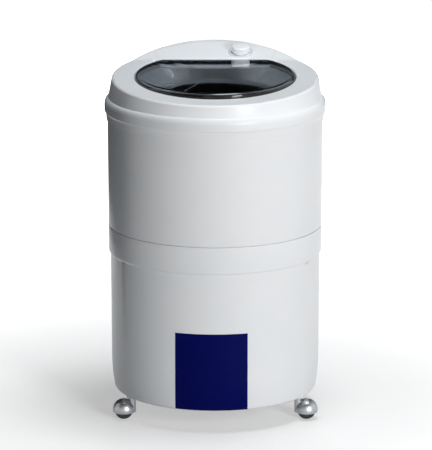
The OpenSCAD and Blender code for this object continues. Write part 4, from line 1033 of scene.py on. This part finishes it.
# Three flags of black felt, each a folded strip given as its two long edges, in mm. The lid mirrors the
# first, which is behind and overhead. The left wall mirrors the second, at the left, and the third, in front
# at the left, which also keeps the lamps off that wall.
CEILING, SCREEN = ((5200, 0), (5200, 4500), (-6000, 4500)), ((-900, 100), (-900, 1200), (-380, 2600))
DOOR = ((-1120, -620), (-725, -928), (-330, -1236))
FLAG_SHAPES = {
    "overhead_flag": [[(x, y, z) for y, z in CEILING] for x in (-4000, 4000)],
    "side_flag": [[(x, y, z) for x, y in SCREEN] for z in (2, 1200)],
    "barn_door": [[(x, y, z) for x, y in DOOR] for z in (500, 1120)],
}


def look_at(made, target):
    """Turns an object so that its -Z points at a target."""
    made.rotation_euler = (Vector(target) - made.location).to_track_quat("-Z", "Y").to_euler()
    return made


def soft_box(name, place, target, width, height, power, colour):
    """A plain soft box aimed at a target."""
    data = bpy.data.lights.new(name, "AREA")
    data.shape, data.size, data.size_y, data.energy, data.color = "RECTANGLE", width, height, power, colour
    made = bpy.data.objects.new(name, data)
    made.location = place
    bpy.context.scene.collection.objects.link(made)
    return look_at(made, target)


def around(turn, height, distance):
    """A place at a turn from the front towards the right, a height and a distance, in metres."""
    t = math.radians(turn)
    return (distance * math.sin(t), -distance * math.cos(t), height)


def seen_white(tree):
    """1 for the rays that see the background itself: straight, in a reflection or through the lid."""
    paths = add_node(tree, "ShaderNodeLightPath").outputs
    seen = paths["Is Camera Ray"]
    for name in ("Is Glossy Ray", "Is Transmission Ray"):
        seen = add_node(tree, "ShaderNodeMath", {0: seen, 1: paths[name]}, operation="MAXIMUM").outputs[0]
    return seen


def flag_cloth():
    """Black felt of the flags, which keep the reflections in the lid and the left wall dark."""
    made, tree, place = blank("black_flag_felt")
    nap = add_node(tree, "ShaderNodeTexNoise", {"Vector": place, "Scale": 300.0, "Detail": 2.0}).outputs[0]
    shades = {0: nap, 6: linear("#050506"), 7: linear("#0a0a0b")}
    shade = add_node(tree, "ShaderNodeMix", shades, data_type="RGBA").outputs[2]
    dull = {"Base Color": shade, "Roughness": 1.0, "Specular IOR Level": 0.0}
    felt = add_node(tree, "ShaderNodeBsdfPrincipled", dull)
    add_node(tree, "ShaderNodeOutputMaterial", {"Surface": felt.outputs[0]})
    return made


def pale_paper(settings):
    """Plain paper: it keeps the machine's shadow and turns plain white for the camera further out."""
    made, tree, place = blank("plain_white_paper")
    fibre = add_node(tree, "ShaderNodeTexNoise", {"Vector": place, "Scale": 400.0, "Detail": 3.0}).outputs[0]
    tooth = add_node(tree, "ShaderNodeBump", {"Height": fibre, "Distance": 0.0002}).outputs[0]
    grey = [0.62, 0.62, 0.62, 1]
    matt = {"Base Color": grey, "Roughness": 0.9, "Specular IOR Level": 0.1, "Normal": tooth}
    paper = add_node(tree, "ShaderNodeBsdfPrincipled", matt)
    reach = add_node(tree, "ShaderNodeVectorMath", {0: place}, operation="LENGTH").outputs["Value"]
    span = {0: reach, 1: 0.2, 2: 1.4, 3: settings.floor_glow, 4: 1.0}
    fade = add_node(tree, "ShaderNodeMapRange", span, interpolation_type="SMOOTHSTEP").outputs[0]
    glow = add_node(tree, "ShaderNodeEmission", {"Strength": fade}).outputs[0]
    dark = add_node(tree, "ShaderNodeEmission", {"Strength": 0.0}).outputs[0]
    lift = add_node(tree, "ShaderNodeMixShader", {0: seen_white(tree), 1: dark, 2: glow}).outputs[0]
    both = add_node(tree, "ShaderNodeAddShader", {0: paper.outputs[0], 1: lift}).outputs[0]
    add_node(tree, "ShaderNodeOutputMaterial", {"Surface": both})
    return made


def staged(name, mesh, material):
    """An object of the stage from a mesh and its material."""
    made = bpy.data.objects.new(name, mesh)
    mesh.materials.append(material)
    bpy.context.scene.collection.objects.link(made)
    return made


def make_lamps(settings):
    """Soft boxes in front, at the side, behind and above, and a spot on the lid.

    The rear box and the spot aren't seen in reflections, where they would put a glint on the lid.
    """
    middle = MACHINE_MIDDLE
    soft_box("key_soft_box", around(*KEY_AT), middle, 1.0, 1.6, settings.key_power, WARM)
    soft_box("side_soft_box", around(*SIDE_AT), middle, 1.2, 1.8, settings.side_power, NEUTRAL)
    rear = soft_box("rear_soft_box", around(*REAR_AT), middle, 1.6, 0.7, settings.rear_power, NEUTRAL)
    rear.visible_glossy = False
    data = bpy.data.lights.new("lid_spot", "SPOT")
    data.energy, data.spot_size, data.spot_blend = settings.lid_power, math.radians(SPOT_CONE), 0.5
    data.shadow_soft_size = 0.15
    spot = bpy.data.objects.new("lid_spot", data)
    spot.location = around(*SPOT_AT)
    spot.visible_glossy = False
    bpy.context.scene.collection.objects.link(spot)
    look_at(spot, LID_MIDDLE)
    soft_box("top_soft_box", TOP_AT, TOP_AIM, 1.0, 1.0, settings.top_power, COOL)


def make_room(settings):
    """The world: a little cool light on the machine, and white wherever the background is seen."""
    world = bpy.data.worlds.new("pale_room")
    bpy.context.scene.world = world
    world.use_nodes = True
    tree = world.node_tree
    tree.nodes.clear()
    cool = [0.84, 0.93, 1.0, 1]
    room = add_node(tree, "ShaderNodeBackground", {"Color": cool, "Strength": settings.room_light}).outputs[0]
    white = add_node(tree, "ShaderNodeBackground", {"Color": [1, 1, 1, 1], "Strength": 1.0}).outputs[0]
    both = add_node(tree, "ShaderNodeMixShader", {0: seen_white(tree), 1: room, 2: white}).outputs[0]
    add_node(tree, "ShaderNodeOutputWorld", {"Surface": both})


def make_stage(settings):
    """Floor, flags, lamps, world and the camera at the photograph's angle."""
    scene, half = bpy.context.scene, FLOOR_HALF
    floor = mesh_of([(-half, -half, 0), (half, -half, 0), (half, half, 0), (-half, half, 0)], [(0, 1, 2, 3)])
    staged("paper_floor", floor, pale_paper(settings))
    felt = flag_cloth()
    for name, (low, high) in FLAG_SHAPES.items():
        flag = staged(name, mesh_of(low + high, [(0, 1, 4, 3), (1, 2, 5, 4)]), felt)
        flag.visible_camera = False
        flag.visible_shadow = name == "barn_door"
    make_lamps(settings)
    make_room(settings)

    lens = bpy.data.cameras.new("photo_camera")
    lens.lens, lens.sensor_width = settings.lens, 36.0
    lens.shift_x, lens.shift_y = settings.shift_x, settings.shift_y
    lens.clip_start, lens.clip_end = 0.1, 100
    camera = bpy.data.objects.new("photo_camera", lens)
    aim, rise = Vector(CAMERA_AIM), settings.elevation
    camera.location = aim + Vector((0, -math.cos(rise), math.sin(rise))) * settings.distance
    look_at(camera, aim)
    scene.collection.objects.link(camera)
    scene.camera = camera
    scene.view_settings.view_transform = "Standard"


# ---------------------------------------------------------------- add-on
def number_of(name, description, default, unit="NONE"):
    """A plain number that a user can set, or one with a unit."""
    return FloatProperty(name=name, description=description, default=default, unit=unit)


def length(name, description, default):
    """A length in metres that a user can set."""
    return number_of(name, description, default, "LENGTH")


def angle(name, description, degrees):
    """An angle that a user can set, its default in degrees."""
    return number_of(name, description, math.radians(degrees), "ROTATION")


def watts(name, description, default):
    """A lamp's power that a user can set."""
    return number_of(name, description, default, "POWER")


def colour(name, description, code):
    """A colour that a user can set, its default an sRGB hex value."""
    return FloatVectorProperty(
        name=name, description=description, default=linear(code), size=4, min=0, max=1, subtype="COLOR"
    )


class WasherSettings(bpy.types.PropertyGroup):
    """Sizes and colours of the machine's dressed pieces"""

    segments: IntProperty(
        name="Segments", description="Faces round the shells, the top and the lid", default=256, min=64
    )
    edge_angle: angle("Edge angle", "Edges of a CAD node sharper than this stay sharp", 28.0)
    label_width: length("Label width", "Width of the front film", 0.153)
    label_low: length("Label foot", "Height of the film's lower edge", 0.0495)
    label_high: length("Label top", "Height of the film's upper edge", 0.2185)
    label_centre: length("Label centre", "Place of the film's middle across the front", -0.008)
    shell_colour: colour("Shells", "Colour of the shells, the top and the panel", "#eceef1")
    funnel_colour: colour("Funnel", "Colour of the funnel collar and the pulsator", "#9ea2a6")
    lid_colour: colour("Lid", "Tint of the smoked lid", "#d2d5d8")
    label_colour: colour("Label", "Colour of the front film", "#00064e")
    knob_colour: colour("Knob", "Colour of the timer knob", "#f0f1f3")
    hood_colour: colour("Hoods", "Colour of the casters' plated hoods", "#a4a7aa")


class WasherStage(bpy.types.PropertyGroup):
    """Camera, lamps and floor"""

    lens: number_of("Lens", "Focal length in millimetres", 335.8, "CAMERA")
    distance: length("Distance", "Camera to its aim", 9.0)
    elevation: angle("Elevation", "Camera's height above level", 13.7)
    shift_x: number_of("Shift X", "Camera's sideways shift", 0.0018)
    shift_y: number_of("Shift Y", "Camera's upward shift", -0.0058)
    key_power: watts("Key", "Power of the front soft box", 100.0)
    side_power: watts("Side", "Power of the side soft box", 2.0)
    rear_power: watts("Rear", "Power of the rear soft box", 70.0)
    top_power: watts("Top", "Power of the top soft box", 51.0)
    lid_power: watts("Lid", "Power of the spot on the lid", 100.0)
    room_light: number_of("Room", "Light of the room on the machine", 0.09)
    floor_glow: number_of("Floor glow", "White added to the floor near the machine", 0.4)


class MakeFinishes(bpy.types.Operator):
    """Make every material and node tree"""

    bl_idname = "washer.make_finishes"
    bl_label = "Make Finishes"

    def execute(self, context):
        FINISH.update(make_materials(context.scene.washer))
        TREES.update(turned=turned_wall_tree(), ring=ring_tree())
        return {"FINISHED"}


class MakeShells(bpy.types.Operator):
    """Make the lower and the upper shell"""

    bl_idname = "washer.make_shells"
    bl_label = "Make Shells"

    def execute(self, context):
        make_lower_shell(context.scene.washer)
        make_upper_shell(context.scene.washer)
        return {"FINISHED"}


class MakeTop(bpy.types.Operator):
    """Make the top cover and the control panel"""

    bl_idname = "washer.make_top"
    bl_label = "Make Top"

    def execute(self, context):
        make_top(context.scene.washer)
        return {"FINISHED"}


class MakeLid(bpy.types.Operator):
    """Make the smoked lid and the funnel collar under it"""

    bl_idname = "washer.make_lid"
    bl_label = "Make Lid"

    def execute(self, context):
        make_lid(context.scene.washer)
        make_collar(context.scene.washer)
        return {"FINISHED"}


class MakeControls(bpy.types.Operator):
    """Make the dial with its marks and the timer knob"""

    bl_idname = "washer.make_controls"
    bl_label = "Make Controls"

    def execute(self, context):
        make_controls()
        return {"FINISHED"}


class MakeLabel(bpy.types.Operator):
    """Make the plain film on the front"""

    bl_idname = "washer.make_label"
    bl_label = "Make Label"

    def execute(self, context):
        make_label(context.scene.washer)
        return {"FINISHED"}


class DressNodes(bpy.types.Operator):
    """Give the CAD nodes that stay their finishes"""

    bl_idname = "washer.dress_nodes"
    bl_label = "Dress CAD Nodes"

    def execute(self, context):
        dress_nodes(context.scene.washer)
        return {"FINISHED"}


class MakeStage(bpy.types.Operator):
    """Make the floor, the lamps, the world and the camera"""

    bl_idname = "washer.make_stage"
    bl_label = "Make Stage"

    def execute(self, context):
        make_stage(context.scene.washer_stage)
        return {"FINISHED"}


OPERATORS = (MakeFinishes, MakeShells, MakeTop, MakeLid, MakeControls, MakeLabel, DressNodes, MakeStage)


class WasherPanel(bpy.types.Panel):
    """Settings and steps of the washing machine"""

    bl_idname = "VIEW3D_PT_washer"
    bl_label = "Washing Machine"
    bl_space_type = "VIEW_3D"
    bl_region_type = "UI"
    bl_category = "Washer"

    def draw(self, context):
        for group in (context.scene.washer, context.scene.washer_stage):
            box = self.layout.box()
            for name in group.__annotations__:
                box.prop(group, name)
        for step in OPERATORS:
            self.layout.operator(step.bl_idname)


CLASSES = (WasherSettings, WasherStage, *OPERATORS, WasherPanel)


def register():
    for made in CLASSES:
        bpy.utils.register_class(made)
    bpy.types.Scene.washer = PointerProperty(type=WasherSettings)
    bpy.types.Scene.washer_stage = PointerProperty(type=WasherStage)


def unregister():
    del bpy.types.Scene.washer_stage
    del bpy.types.Scene.washer
    for made in reversed(CLASSES):
        bpy.utils.unregister_class(made)


def main():
    register()
    for step in OPERATORS:
        getattr(bpy.ops.washer, step.bl_idname.split(".")[1])()


if __name__ == "__main__":
    main()
